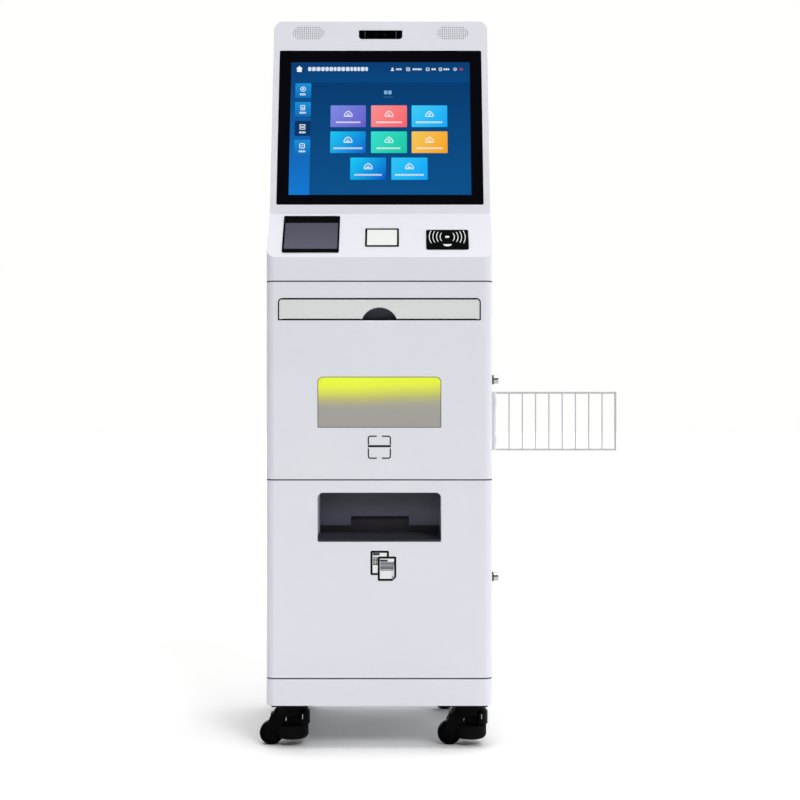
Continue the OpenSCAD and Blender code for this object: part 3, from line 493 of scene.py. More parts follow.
# Every solid gets its slot's finish, and the shown ones a copy with eased edges
finishes = {
    "white_paint": powderCoat("white_powder_coat", "white"),
    "bare_steel": zincedSteel("zinced_steel", steelSettings),
    "lock_chrome": turnedChrome("turned_chrome", chromeSettings),
    "screen_glass": blackGlass("black_bordered_glass", glassSettings),
    "dark_plastic": mouldedPlastic("dark_grey_plastic", "dark"),
    "black_plastic": mouldedPlastic("satin_black_plastic", "black"),
    "printer_plastic": mouldedPlastic("printer_case_plastic", "case"),
    "finned_aluminium": anodised("black_anodised_fins", finSettings),
    "rack_paint": powderCoat("grey_wire_coat", "rack"),
    "caster_paint": powderCoat("black_casting_paint", "caster"),
    "wheel_nylon": mouldedPlastic("black_nylon", "nylon"),
    "pad_rubber": mouldedPlastic("moulded_rubber", "rubber"),
    "reader_glass": readerPane("dark_reader_glass", readerGlassSettings),
    "code_pane": opalPane("opal_pane", codePaneSettings),
    "scan_pane": litScanPane("lit_scan_pane", scanPaneSettings),
}
special = {
    "drawer_front": powderCoat("drawer_face_coat", "drawer"),
    "print_bay_liner": powderCoat("bay_liner_coat", "liner"),
    "print_hood": mouldedPlastic("bay_hood_plastic", "hood"),
    "output_tray": mouldedPlastic("output_tray_plastic", "tray"),
    "drawer_tray": mouldedPlastic("drawer_tray_plastic", "drawer"),
}
finishOf = {node: special.get(node, finishes[slotOf[node]]) for node in nodes}
for node, solid in nodes.items():
    solid.data.materials.clear()
    solid.data.materials.append(finishOf[node])
print("finishes: %d" % (len(finishes) + len(special)))

# Eased edge of each shown solid, in millimetres; the rest keep their CAD mesh
easedEdges = {
    "base_plinth": 1.2, "left_side_panel": 0.6, "right_side_panel": 0.6, "rear_panel": 0.5,
    "upper_door": 0.7, "lower_door": 0.7, "head_shell": 0.8, "head_rear_cover": 0.5,
    "touch_glass": 0.5, "camera_unit": 0.4, "speaker_grilles": 0.25, "passport_reader": 0.6,
    "passport_glass": 0.3, "code_reader_frame": 0.4, "code_reader_window": 0.3, "card_reader": 0.5,
    "drawer_front": 0.6, "drawer_tray": 0.4, "scan_window": 0.5, "print_bay_liner": 0.3,
    "print_hood": 0.5, "output_tray": 0.5, "printer": 1.5, "control_computer": 0.6,
    "power_supply": 0.5, "power_inlet": 0.5, "shelves": 0.4, "top_plate": 0.4,
    "side_rack": 0.4, "rack_brackets": 0.4, "lock_strikes": 0.4, "slide_outer": 0.3,
    "slide_middle": 0.3, "slide_inner": 0.3, "caster_plates": 0.5, "hinge_pins": 0.2,
    "upper_lock_body": 0.5, "lower_lock_body": 0.5, "upper_lock_plug": 0.35, "lower_lock_plug": 0.35,
}
for corner in ("fl", "fr", "rl", "rr"):
    easedEdges.update({"caster_fork_" + corner: 0.9, "caster_wheel_" + corner: 0.5,
                       "caster_foot_" + corner: 0.5, "caster_adjuster_" + corner: 0.4})
easing = {"segments": 2, "sharp": 20.0, "weld": 0.000002, "flat": 0.2}


def easedCopy(node, edge):
    mesh = nodes[node].data.copy()
    bm = bmesh.new()
    bm.from_mesh(mesh)
    bmesh.ops.remove_doubles(bm, verts=bm.verts, dist=easing["weld"])
    bmesh.ops.dissolve_limit(bm, angle_limit=math.radians(easing["flat"]), verts=bm.verts, edges=bm.edges)
    bm.to_mesh(mesh)
    bm.free()
    mesh.polygons.foreach_set("use_smooth", [True] * len(mesh.polygons))
    holder = putInScene(node + "_holder", mesh)
    bevel = holder.modifiers.new("ease", "BEVEL")
    bevel.width = edge * mm
    bevel.segments = easing["segments"]
    bevel.limit_method = "ANGLE"
    bevel.angle_limit = math.radians(easing["sharp"])
    level = holder.modifiers.new("level", "WEIGHTED_NORMAL")
    level.mode = "FACE_AREA"
    level.weight = 100
    return plainMesh(holder)


for node, edge in easedEdges.items():
    copy = settle(node + "_eased", easedCopy(node, edge), finishOf[node], bodyOf[node])
    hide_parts(node)
print("eased copies: %d" % len(easedEdges))


# The lit picture on the touch glass, drawn in shares of it from its left and its top
picture = {"left": -189.0, "width": 378.0, "bottom": 42.0, "height": 302.7, "step": 0.1, "lift": 0.02}
white = srgb(246, 250, 255)
wordWhite = srgb(214, 226, 242)


def pictureX(u):
    return picture["left"] + picture["width"] * u


def pictureY(v):
    return picture["bottom"] + picture["height"] * (1 - v)


def layer(n):
    # the under and the upper side of one layer
    return tuple(picture["lift"] + picture["step"] * k for k in (n, n + 1))


def pictureArea(u0, u1, v0, v1):
    return pictureX(u0), pictureX(u1), pictureY(v1), pictureY(v0)


def pictureBox(u0, u1, v0, v1, r=0.0):
    x0, x1, y0, y1 = pictureArea(u0, u1, v0, v1)
    if r <= 0:
        return [(x0, y0), (x1, y0), (x1, y1), (x0, y1)]
    return roundBox((x0 + x1) / 2, (y0 + y1) / 2, x1 - x0, y1 - y0, r)


def slanted(u0, u1, v0, v1, first, last, across=0.65):
    # a tint that runs from the top left to the bottom right corner of an area
    x0, x1, y0, y1 = pictureArea(u0, u1, v0, v1)
    right, down = across / (x1 - x0), (1 - across) / (y1 - y0)
    return lambda x, y: blend(first, last, (x - x0) * right + (y1 - y) * down)


def upDown(v0, v1, top, bottom):
    return slanted(0, 1, v0, v1, top, bottom, across=0)


def litPicture(name):
    look = Look(name)
    shimmer = look.noise(5.0)
    return look.shade({
        "Base Color": (0.001, 0.001, 0.002),
        "Roughness": 0.12 + 0.06 * shimmer,
        "Emission Color": look.mix(0.04 * shimmer, look.tint(), (0.0, 0.0, 0.0)),
        "Emission Strength": 1.0,
        "Specular IOR Level": 0.012,
    })


def wordBar(target, u, v, width, height, seed, tint, level):
    # a row of small blocks that stands for a line of words
    draw = random.Random(seed)
    cx, cy = pictureX(u), pictureY(v)
    x, end = cx - width / 2, cx + width / 2
    while x < end - height * 0.5:
        run = min(height * draw.uniform(0.7, 1.15), end - x)
        block = roundBox(x + run / 2, cy, run * 0.84, height, height * 0.22, 2)
        target.slab(block, *layer(level), tint)
        x += run


# Icons, drawn in shares of their size from the middle: eye, page, cards, frame, person, house
pageMarks = [
    [("ring", disc(0, 0, 0.42, 30), disc(0, 0, 0.32, 30)), ("fill", disc(0, 0, 0.13, 16))],
    [("line", roundBox(0, 0, 0.7, 0.86, 0.1, 3), 0.1), ("fill", roundBox(0, -0.16, 0.36, 0.09, 0.03, 2)),
     ("fill", roundBox(0, 0.06, 0.36, 0.09, 0.03, 2))],
    [("line", roundBox(0, up, 0.9, 0.38, 0.08, 3), 0.1) for up in (-0.25, 0.25)],
    [("line", roundBox(0, 0, 0.84, 0.84, 0.16, 3), 0.11), ("fill", roundBox(0, 0, 0.34, 0.14, 0.05, 2))],
    [("fill", disc(0, 0.22, 0.2, 16)), ("fill", arcPoints(0, -0.42, 0.38, 0, 180, 14))],
    [("fill", softCorners([(-0.5, 0.02), (0.5, 0.02), (0.0, 0.48)], 0.04, 2)),
     ("fill", roundBox(0, -0.22, 0.66, 0.46, 0.06, 2))],
]
trayShoulders = (0.30, 0.34, 0.26, 0.36, 0.28, 0.32, 0.34, 0.30)


class Icon:
    def __init__(self, target, u, v, size, tint, level):
        self.target = target
        self.middle = (pictureX(u), pictureY(v))
        self.size = size
        self.coat = (*layer(level), tint)

    def spread(self, outline):
        return [tuple(m + p * self.size for m, p in zip(self.middle, point)) for point in outline]

    def fill(self, outline):
        self.target.slab(self.spread(outline), *self.coat)

    def ring(self, outer, inner):
        self.target.band(self.spread(outer), self.spread(inner), *self.coat)

    def line(self, outer, width):
        self.ring(outer, shrink(outer, width))

    def page(self, style):
        for way, *shape in pageMarks[style]:
            getattr(self, way)(*shape)

    def tray(self, style):
        # a lidded tray with a small mark, one style for each tile
        x = trayShoulders[style]
        lid = [(-0.5, -0.34), (0.5, -0.34), (0.5, -0.08), (x, 0.22), (0, 0.44), (-x, 0.22), (-0.5, -0.08)]
        self.line(softCorners(lid, 0.09), 0.085)
        if style in (2, 4):
            self.ring(disc(0, -0.02, 0.16, 18), disc(0, -0.02, 0.09, 18))
        else:
            self.fill(roundBox(0, -0.14, 0.56 - 0.05 * (style % 3), 0.09, 0.03, 2))
            self.fill(roundBox(-0.05 * (style % 2), 0.06, 0.2, 0.09, 0.03, 2))


screenSettings = {
    "header": (srgb(8, 62, 116), srgb(8, 71, 129)), "field": (srgb(6, 60, 112), srgb(12, 82, 140)),
    "column": (srgb(12, 68, 124), srgb(20, 122, 211)), "button": (srgb(26, 146, 219), srgb(17, 112, 190)),
    "chosen": (srgb(7, 52, 100), srgb(8, 56, 106)), "alert": srgb(196, 60, 84),
    "greeting": srgb(128, 172, 212), "rule": srgb(70, 130, 184),
    "headerFoot": 0.155, "columnEdge": 0.113, "buttonEdges": (0.0255, 0.114), "buttonDrop": 0.004,
    "buttonMiddle": 0.069, "chosenButton": 2, "titleLine": 0.052, "topLine": 0.054,
    "tiles": [
        (0.224, 0.420, 0.331, 0.495, srgb(128, 140, 230), srgb(104, 92, 202)),
        (0.449, 0.648, 0.331, 0.495, srgb(252, 146, 146), srgb(250, 98, 106)),
        (0.674, 0.872, 0.331, 0.495, srgb(62, 206, 248), srgb(18, 168, 248)),
        (0.224, 0.420, 0.528, 0.690, srgb(30, 200, 248), srgb(10, 94, 206)),
        (0.449, 0.648, 0.528, 0.690, srgb(56, 228, 206), srgb(24, 200, 160)),
        (0.674, 0.872, 0.528, 0.690, srgb(247, 202, 90), srgb(250, 164, 22)),
        (0.336, 0.533, 0.724, 0.889, srgb(26, 204, 251), srgb(4, 82, 204)),
        (0.562, 0.761, 0.724, 0.889, srgb(48, 200, 250), srgb(12, 166, 248)),
    ],
    "buttons": [(0.158, 0.269), (0.301, 0.408), (0.444, 0.558), (0.587, 0.700)],
    "topMarks": [(0.567, 4, 0.605, 0.036), (0.655, 2, 0.707, 0.056), (0.765, 3, 0.798, 0.026),
                 (0.836, 1, 0.870, 0.036), (0.918, 0, 0.0, 0.0)],
}


def makePicture(s):
    art = Print(onPanel)
    foot = s["headerFoot"]
    art.slab(pictureBox(0, 1, 0, foot), *layer(0), upDown(0, foot, *s["header"]))
    art.slab(pictureBox(0, 1, foot, 1), *layer(0), upDown(foot, 1, *s["field"]))
    art.slab(pictureBox(0, s["columnEdge"], foot, 1), *layer(1), upDown(foot, 1, *s["column"]))
    for i, (v0, v1) in enumerate(s["buttons"]):
        colours = s["chosen"] if i == s["chosenButton"] else s["button"]
        box = pictureBox(*s["buttonEdges"], v0 + s["buttonDrop"], v1 + s["buttonDrop"], 2.0)
        art.slab(box, *layer(2), upDown(v0, v1, *colours))
        Icon(art, s["buttonMiddle"], v0 + (v1 - v0) * 0.44, 13.5, white, 3).page(i)
        wordBar(art, s["buttonMiddle"], v0 + (v1 - v0) * 0.80, 14.0, 4.6, 40 + i, wordWhite, 3)
    for i, (u0, u1, v0, v1, first, last) in enumerate(s["tiles"]):
        art.slab(pictureBox(u0, u1, v0, v1, 1.6), *layer(2), slanted(u0, u1, v0, v1, first, last))
        middle, words = (u0 + u1) / 2, blend(last, white, 0.72)
        Icon(art, middle, v0 + (v1 - v0) * 0.40, 18.0, white, 3).tray(i)
        wordBar(art, middle, v0 + (v1 - v0) * 0.78, 52.0 + 3.0 * (i % 4), 4.0, 60 + i, words, 3)
    Icon(art, 0.046, s["titleLine"], 15.0, white, 2).page(5)
    wordBar(art, 0.262, s["titleLine"], 128.0, 9.4, 11, wordWhite, 2)
    for i, (u, style, wordU, wide) in enumerate(s["topMarks"]):
        Icon(art, u, s["topLine"], 9.0, white, 2).page(style)
        if wide:
            wordBar(art, wordU, s["topLine"], picture["width"] * wide, 4.4, 21 + i, wordWhite, 2)
    wordBar(art, 0.956, s["topLine"], 9.5, 5.0, 31, s["alert"], 2)
    wordBar(art, 0.545, 0.232, 20.0, 9.0, 33, s["greeting"], 2)
    art.slab(pictureBox(0.519, 0.572, 0.266, 0.269), *layer(2), s["rule"])
    art.piece("screen_picture", litPicture("lit_picture"), "cabinet", "screen_glass")


makePicture(screenSettings)
print("screen picture drawn")


# Marks printed on the doors, the card plate and the camera bar
def printedInk(name, rough, gloss, wear):
    look = Look(name)
    worn = look.noise(700.0, 3.0)
    return look.shade({
        "Base Color": look.mix(wear * worn, look.tint(), (0.2, 0.2, 0.21)),
        "Roughness": rough + 0.14 * worn,
        "Normal": look.bump(worn, 0.05, 0.0001),
        "Specular IOR Level": gloss,
    })


ink = printedInk("printed_ink", rough=0.42, gloss=0.1, wear=0.03)
inkLayers = (0.12, 0.2, 0.28)

scanMark = {"x": 0.0, "z": 605.8, "size": 46.7, "line": 2.7, "bar": 4.3, "barUp": 2.0, "across": 16.9,
            "upper": 17.0, "lower": 19.6, "corner": 4.0, "ink": srgb(38, 38, 44)}


def makeScanMark(s):
    art = Print(onDoor)
    half, r = s["size"] / 2 - s["line"] / 2, s["corner"]
    bend = arcPoints(half - r, half - r, r, 0, 90, 6)
    for sx, sz in ((-1, -1), (-1, 1), (1, -1), (1, 1)):
        arm = s["upper"] if sz > 0 else s["lower"]
        path = [(half, half - arm)] + bend + [(half - s["across"], half)]
        path = [(s["x"] + sx * x, s["z"] + sz * z) for x, z in path]
        if sx * sz < 0:
            path = path[::-1]
        art.slab(strip(path, s["line"]), 0.0, inkLayers[0], s["ink"])
    bar = roundBox(s["x"], s["z"] + s["barUp"], s["size"], s["bar"], 0.5, 2)
    art.slab(bar, 0.0, inkLayers[0], s["ink"])
    art.piece("scan_mark", ink, "upper_door", "black_plastic")


pagesMark = {"x": 8.0, "z": 368.0, "line": 4.3, "page": (37.2, 48.9), "shift": (14.6, -11.6), "corner": 2.8,
             "fold": 7.5, "ink": srgb(10, 10, 12), "paper": srgb(240, 240, 242), "bar": srgb(58, 58, 64),
             "grey": srgb(126, 126, 133), "pale": srgb(200, 200, 205),
             # bars of the front page: distance from its top, height, corner and tint
             "rows": [(14.0, 5.6, 0.3, "grey"), (19.4, 3.4, 0.3, "grey"), (23.1, 3.2, 0.3, "bar"),
                      (27.2, 1.7, 0.3, "bar"), (17.3, 1.2, 0.2, "pale"), (25.5, 1.2, 0.2, "pale")]}


def makePagesMark(s):
    art = Print(onDoor)
    w, h = s["page"]
    dx, dz = s["shift"]
    line, fold = s["line"], s["fold"]
    high, second, third = inkLayers

    def bar(x, z, wide, tall, r, low, top, tint):
        art.slab(roundBox(x, z, wide, tall, r, 2), low, top, s[tint])

    backX, backZ = s["x"] - dx / 2, s["z"] - dz / 2
    back = roundBox(backX, backZ, w, h, s["corner"], 4)
    art.slab(shrink(back, line - 0.2), 0.0, high - 0.04, s["paper"])
    art.band(back, shrink(back, line), 0.0, high, s["ink"])
    top, left = backZ + h / 2, backX - w / 2
    bar(left + 11.6, top - 6.9, 13.6, 4.6, 0.4, 0.02, high, "bar")
    for row in range(4):
        for column in range(2):
            tint = "bar" if row % 2 else "grey"
            bar(left + 7.3 + 5.0 * column, top - 14.4 - 4.2 * row, 4.5, 3.4, 0.3, 0.02, high, tint)
    frontX, frontZ = s["x"] + dx / 2, s["z"] + dz / 2
    x0, x1, z0, z1 = frontX - w / 2, frontX + w / 2, frontZ - h / 2, frontZ + h / 2
    sheet = softCorners([(x0, z0), (x1 - fold, z0), (x1, z0 + fold), (x1, z1), (x0, z1)], 2.4, 4)
    art.slab(shrink(sheet, line - 0.2), high - 0.02, second - 0.04, s["paper"])
    art.band(sheet, shrink(sheet, line), 0.0, second, s["ink"])
    bar(x0 + 12.4, z1 - 8.3, 15.2, 4.2, 0.4, 0.1, second, "bar")
    for down, tall, r, tint in s["rows"]:
        bar(frontX, z1 - down, 27.0, tall, r, 0.1, second, tint)
    turned = [(x1 - fold - 1.2, z0 + 2.4), (x1 - 2.6, z0 + fold + 1.0), (x1 - fold - 0.6, z0 + fold + 2.2)]
    art.slab(softCorners(turned, 0.5, 2), 0.1, third - 0.02, s["ink"])
    art.slab(shrink(softCorners(turned, 0.3, 2), 1.1), 0.1, third, s["paper"])
    art.piece("pages_mark", ink, "lower_door", "black_plastic")


cardArt = {"x": 137.3, "u": 49.9, "rise": 1.6, "arcs": 4, "near": 24.0, "step": 7.3, "line": 1.6,
           "across": 9.5, "spread": (29.0, 23.5), "up": 7.2, "pill": (9.2, 5.8, 2.8), "bowl": (18.4, 9.5),
           "white": srgb(236, 238, 240)}


def makeCardArt(s):
    art = Print(onDeck)
    low, high = s["rise"] - 0.02, s["rise"] + 0.14
    cx, cy = s["x"], s["u"] + s["up"]
    wide, narrow = s["spread"]
    for k in range(s["arcs"]):
        r = s["near"] + s["step"] * k
        spread = wide + (narrow - wide) * k / (s["arcs"] - 1)
        for start, shift in ((0, -s["across"]), (180, s["across"])):
            path = arcPoints(cx + shift, cy, r, start - spread, start + spread, 14)
            art.slab(strip(path, s["line"]), low, high, s["white"])
    art.slab(roundBox(cx, cy, *s["pill"], 4), low, high, s["white"])
    down, r = s["bowl"]
    art.slab(arcPoints(cx, cy - down, r, 199, 341, 18), low, high, s["white"])
    art.piece("card_plate_marks", ink, "cabinet", "black_plastic")


codeBorder = {"x": 5.0, "u": 56.4, "size": (62.2, 47.0), "corner": 1.3, "line": 0.9, "rise": 0.8,
              "ink": srgb(3, 3, 4)}


def makeCodeBorder(s):
    art = Print(onDeck)
    outer = roundBox(s["x"], s["u"], *s["size"], s["corner"], 4)
    art.band(outer, shrink(outer, s["line"]), s["rise"] - 0.02, s["rise"] + 0.1, s["ink"])
    art.piece("code_pane_border", ink, "cabinet", "black_plastic")


makeCodeBorder(codeBorder)
makeScanMark(scanMark)
makePagesMark(pagesMark)
makeCardArt(cardArt)
print("printed marks drawn")

# Camera bar: a smoked centre and two end blocks, with bright joints and two lenses
cameraBar = {"v": 410.0, "width": 92.0, "height": 20.5, "joint": 33.0, "face": -0.6, "margin": 1.4,
             "lensX": 9.0, "lensRing": 4.6, "lensR": 3.4, "block": srgb(3, 3, 4), "smoke": srgb(1, 1, 1),
             "line": srgb(96, 98, 104), "lens": srgb(16, 15, 26)}


def makeCameraBar(s):
    art = Print(onPanel)
    low, high = s["face"] - 0.02, s["face"] + 0.18
    v, h, joint, end = s["v"], s["height"], s["joint"], s["width"] / 2 - s["margin"]
    art.slab(roundBox(0, v, 2 * joint - 1.0, h - 1.6, 0.5, 2), low, high, s["smoke"])
    for side in (-1, 1):
        block = roundBox(side * (joint + end) / 2, v, end - joint - 0.6, h - 2.4, 2.6, 4)
        art.slab(block, low, high, s["block"])
        art.slab(roundBox(side * joint, v, 0.7, h - 3.0, 0.2, 2), low, high + 0.06, s["line"])
        outer = disc(side * s["lensX"], v, s["lensRing"])
        art.band(outer, shrink(outer, 0.5), high - 0.05, high + 0.2, s["block"])
        art.slab(disc(side * s["lensX"], v, s["lensR"]), high - 0.05, high + 0.1, s["lens"])
    gloss = printedInk("camera_bar_gloss", rough=0.12, gloss=0.01, wear=0.004)
    art.piece("camera_bar_face", gloss, "cabinet", "black_plastic")


makeCameraBar(cameraBar)


# Painted shade: thin black strips over and under the doors and black rings round the drawer and the pane
# darken their gaps; a dark ring also stands round each lock
darkRubberAndGapShade = printedInk("dark_rubber_and_gap_shade", rough=0.7, gloss=0.02, wear=0.02)
gapShadeSettings = {"corner": 18.0, "inset": 0.2, "wide": 7.0, "lip": 0.4, "back": -190.0, "thick": 1.12,
                "tint": srgb(4, 4, 5),
                # for each body the edges its painted gap shades lie on and the way they stand from them
                "edges": {"upper_door": ((937.3, 1), (541.5, -1)), "lower_door": ((539.0, 1), (143.2, -1)),
                          "cabinet": ((939.8, -1),)}}
# painted shade: black rings set in the gaps round the drawer and the scan pane
openingGapShades = [
    {"foot": 860.0, "size": (407.0, 45.0), "corners": (9.0, 1.5), "line": 2.5, "depth": (-1.6, -0.1)},
    {"foot": 645.0, "size": (248.0, 102.0), "corners": (11.0, 2.0), "line": 1.15, "depth": (-1.6, -0.2)},
]


def frontRun(s, inset):
    # the cabinet's front in plan, from the left side round to the right
    r, x, y = s["corner"] - inset, kiosk["side"] - s["corner"], kiosk["front"] + s["corner"]
    return ([(-x - r, s["back"])] + arcPoints(-x, y, r, 180, 270, 8)
            + arcPoints(x, y, r, 270, 360, 8) + [(x + r, s["back"])])


def makeGapShades(s):
    # painted shade: black strips lie along the gaps over and under the doors
    run = frontRun(s, s["inset"]) + frontRun(s, s["wide"])[::-1]
    for body, levels in s["edges"].items():
        art = Print(onPlan)
        for edge, way in levels:
            low, high = sorted((edge - way * s["lip"], edge + way * s["thick"]))
            art.slab(run, low, high, s["tint"])
        art.piece(body + "_edge_gap_shade", darkRubberAndGapShade, body, "pad_rubber")
    rings = Print(onDoor)
    for ring in openingGapShades:
        (w, h), (r, footR), line = ring["size"], ring["corners"], ring["line"]
        middle, innerFoot = ring["foot"] + h / 2, max(0.6, footR - line)
        outer = roundBox(0, middle, w, h, r, 6, footR)
        inner = roundBox(0, middle, w - 2 * line, h - 2 * line, r - line, 6, innerFoot)
        rings.band(outer, inner, *ring["depth"], s["tint"])
    rings.piece("opening_gap_shades", darkRubberAndGapShade, "upper_door", "pad_rubber")


# painted shade: thin dark strips in the gaps along the drawer's top and foot, beside the finger notch
drawerGapShade = {"top": 902.3, "foot": 862.7, "tall": 0.7, "width": 389.0, "notch": 76.0, "depth": (-0.4, 0.1),
              "tint": srgb(6, 6, 7)}


def makeDrawerGapShade(s):
    art = Print(onDoor)
    rise = s["tall"] / 2
    run = (s["width"] - s["notch"]) / 2
    lines = [(0, s["top"] - rise, s["width"])]
    lines += [(side * (s["notch"] + run) / 2, s["foot"] + rise, run) for side in (-1, 1)]
    for x, z, wide in lines:
        art.slab(roundBox(x, z, wide, s["tall"], 0.2, 2), *s["depth"], s["tint"])
    art.piece("drawer_gap_shade", darkRubberAndGapShade, "drawer", "pad_rubber")


# the flap in the printer's paper exit, with its guide tabs
exitFlap = {"z": 457.5, "size": (221.0, 7.0), "depth": (-116.0, -114.2), "tabs": 7, "tab": (5.0, 5.6),
            "tint": srgb(56, 56, 63), "tabTint": srgb(66, 66, 73)}


def makeExitFlap(s):
    art = Print(onDoor)
    low, high = s["depth"]
    art.slab(roundBox(0, s["z"], *s["size"], 0.8, 3), low, high, s["tint"])
    step = s["size"][0] / s["tabs"]
    for i in range(s["tabs"]):
        x = (i - (s["tabs"] - 1) / 2) * step
        art.slab(roundBox(x, s["z"], *s["tab"], 0.6, 2), high - 0.1, high + 0.8, s["tabTint"])
    art.piece("paper_exit_flap", ink, "cabinet", "printer_plastic")


lockBezel = {"y": -197.0, "z": {"upper_door": 741.5, "lower_door": 343.2}, "outer": 9.6, "inner": 8.05,
             "thick": 3.2, "tint": srgb(34, 34, 38)}


def makeLockBezels(s):
    for body, z in s["z"].items():
        art = Print(onRight)
        art.band(disc(s["y"], z, s["outer"]), disc(s["y"], z, s["inner"]), 0.0, s["thick"], s["tint"])
        art.piece(body + "_lock_bezel", darkRubberAndGapShade, body, "lock_chrome")


# a short light mark on each caster's guard
casterMark = {"x": 181.0, "y": 175.0, "guardX": 11.0, "guardR": 28.0, "turn": 31.0, "z": 60.0,
              "size": (1.9, 9.6), "tint": srgb(170, 172, 174)}


def makeCasterMarks(s):
    turn = math.radians(s["turn"])
    out = Vector((math.sin(turn), -math.cos(turn), 0))
    for corner, sx, sy in (("fl", -1, -1), ("fr", 1, -1), ("rl", -1, 1), ("rr", 1, 1)):
        middle = Vector((sx * s["x"] + s["guardX"], sy * s["y"], s["z"])) + out * s["guardR"]
        art = Print(faceFrame(middle, (-out.y, out.x, 0), upward, out))
        art.slab(roundBox(0, 0, *s["size"], 0.6, 3), -0.12, 0.14, s["tint"])
        art.piece("caster_mark_" + corner, ink, "fork_" + corner, "caster_paint")


makeDrawerGapShade(drawerGapShade)
makeExitFlap(exitFlap)
makeLockBezels(lockBezel)
makeCasterMarks(casterMark)
makeGapShades(gapShadeSettings)
print("gap shades set")


# Geometry Nodes: a tree puts one small shape on each point, turned to the point's facing
class Tree:
    def __init__(self, name, settings):
        self.settings = settings
        self.tree = bpy.data.node_groups.new(name, "GeometryNodeTree")
        face = self.tree.interface
        face.new_socket("Geometry", in_out="INPUT", socket_type="NodeSocketGeometry")
        self.sockets = {}
        for key, value in settings.items():
            kind = "NodeSocketInt" if isinstance(value, int) else "NodeSocketFloat"
            self.sockets[key] = face.new_socket(key, in_out="INPUT", socket_type=kind).identifier
        face.new_socket("Geometry", in_out="OUTPUT", socket_type="NodeSocketGeometry")
        self.start = start = self.add("NodeGroupInput")
        self.barrel = self.add("GeometryNodeMeshCylinder", {
            "Vertices": start["Sides"], "Radius": start["Radius"], "Depth": start["Depth"]})

    def add(self, kind, values=None, **settings):
        made = self.tree.nodes.new(kind)
        for key, value in settings.items():
            setattr(made, key, value)
        for key, value in (values or {}).items():
            if isinstance(value, bpy.types.NodeSocket):
                self.tree.links.new(value, made.inputs[key])
            else:
                made.inputs[key].default_value = value
        return made.outputs

    def narrow(self, mesh, faces, share):
        values = {"Geometry": mesh, "Selection": faces, "Scale": share}
        return self.add("GeometryNodeScaleElements", values, domain="FACE")["Geometry"]

    def pull(self, mesh, faces, distance):
        values = {"Mesh": mesh, "Selection": faces, "Offset Scale": distance}
        return self.add("GeometryNodeExtrudeMesh", values, mode="FACES")

    def onPoints(self, shape, material):
        facing = self.add("GeometryNodeInputNamedAttribute", {"Name": "facing"}, data_type="FLOAT_VECTOR")
        turn = self.add("FunctionNodeAlignRotationToVector", {"Vector": facing["Attribute"]}, axis="Z")
        points = self.add("GeometryNodeMeshToPoints", {"Mesh": self.start["Geometry"]})
        spread = self.add("GeometryNodeInstanceOnPoints", {
            "Points": points["Points"], "Instance": shape, "Rotation": turn["Rotation"]})
        real = self.add("GeometryNodeRealizeInstances", {"Geometry": spread["Instances"]})
        coat = self.add("GeometryNodeSetMaterial", {"Geometry": real["Geometry"], "Material": material})
        self.add("NodeGroupOutput", {"Geometry": coat["Geometry"]})
        return self


def spreadOver(name, tree, places, body, material):
    # places are points in metres, each with the way its shape looks
    mesh = bpy.data.meshes.new(name)
    mesh.from_pydata([tuple(p) for p, _ in places], [], [])
    facing = mesh.attributes.new("facing", "FLOAT_VECTOR", "POINT")
    for i, (_, way) in enumerate(places):
        facing.data[i].vector = way
    holder = putInScene(name + "_points", mesh)
    modifier = holder.modifiers.new("spread", "NODES")
    modifier.node_group = tree.tree
    for key, value in tree.settings.items():
        modifier[tree.sockets[key]] = value
    settle(name, plainMesh(holder), material, body)


screwSettings = {"Radius": 3.6 * mm, "Depth": 1.9 * mm, "Crown Share": 0.8, "Socket Share": 0.52,
                 "Socket Sink": -0.6, "Sides": 20}


def screwTree(material):
    # a domed head with a round socket
    tree = Tree("socket_screws", screwSettings)
    start, top = tree.start, tree.barrel["Top"]
    rim = tree.pull(tree.narrow(tree.barrel["Mesh"], top, start["Crown Share"]), top, 0.0)
    mouth = tree.narrow(rim["Mesh"], rim["Top"], start["Socket Share"])
    depth = tree.add("ShaderNodeMath", {0: start["Depth"], 1: start["Socket Sink"]}, operation="MULTIPLY")
    recess = tree.pull(mouth, rim["Top"], depth[0])
    return tree.onPoints(recess["Mesh"], material)


plugSettings = {"Radius": 1.21 * mm, "Depth": 1.2 * mm, "Sides": 12}


def plugTree(material):
    # a short plug of acoustic foam
    tree = Tree("foam_plugs", plugSettings)
    return tree.onPoints(tree.barrel["Mesh"], material)


speakerField = {"x": 154.0, "v": 414.0, "width": 68.0, "height": 33.0, "pitch": 4.5, "hole": 2.5,
                "sunk": -1.1}


def speakerHoles(s):
    # the middles of the perforations in the speakers' round-ended fields
    places = []
    pitch, end = s["pitch"], s["height"] / 2
    columns, rows = int(s["width"] / 2 / pitch), int(end / pitch)
    grid = [(i * pitch, j * pitch) for i in range(-columns, columns + 1) for j in range(-rows, rows + 1)]
    for side in (-1, 1):
        for x, y in grid:
            beyond = max(0.0, abs(x) - (s["width"] / 2 - end))
            if math.hypot(beyond, y) < end - s["hole"] / 2:
                spot = onPanel @ Vector((side * s["x"] + x, s["v"] + y, s["sunk"]))
                places.append((spot, tuple(panelOut)))
    return places


rearScrews = {"x": 212.0, "low": 158.0, "high": 922.0, "rows": 6, "headLow": 960.0, "headHigh": 1112.0}


def rearPlaces(s):
    step = (s["high"] - s["low"]) / (s["rows"] - 1)
    heights = [s["low"] + step * row for row in range(s["rows"])] + [s["headLow"], s["headHigh"]]
    return [(onRear @ Vector((side * s["x"], z, 0)), (0, 1, 0)) for side in (-1, 1) for z in heights]


places = rearPlaces(rearScrews)
chrome = finishes["lock_chrome"]
spreadOver("rear_screws", screwTree(chrome), places, "cabinet", chrome)
print("screws set: %d" % len(places))

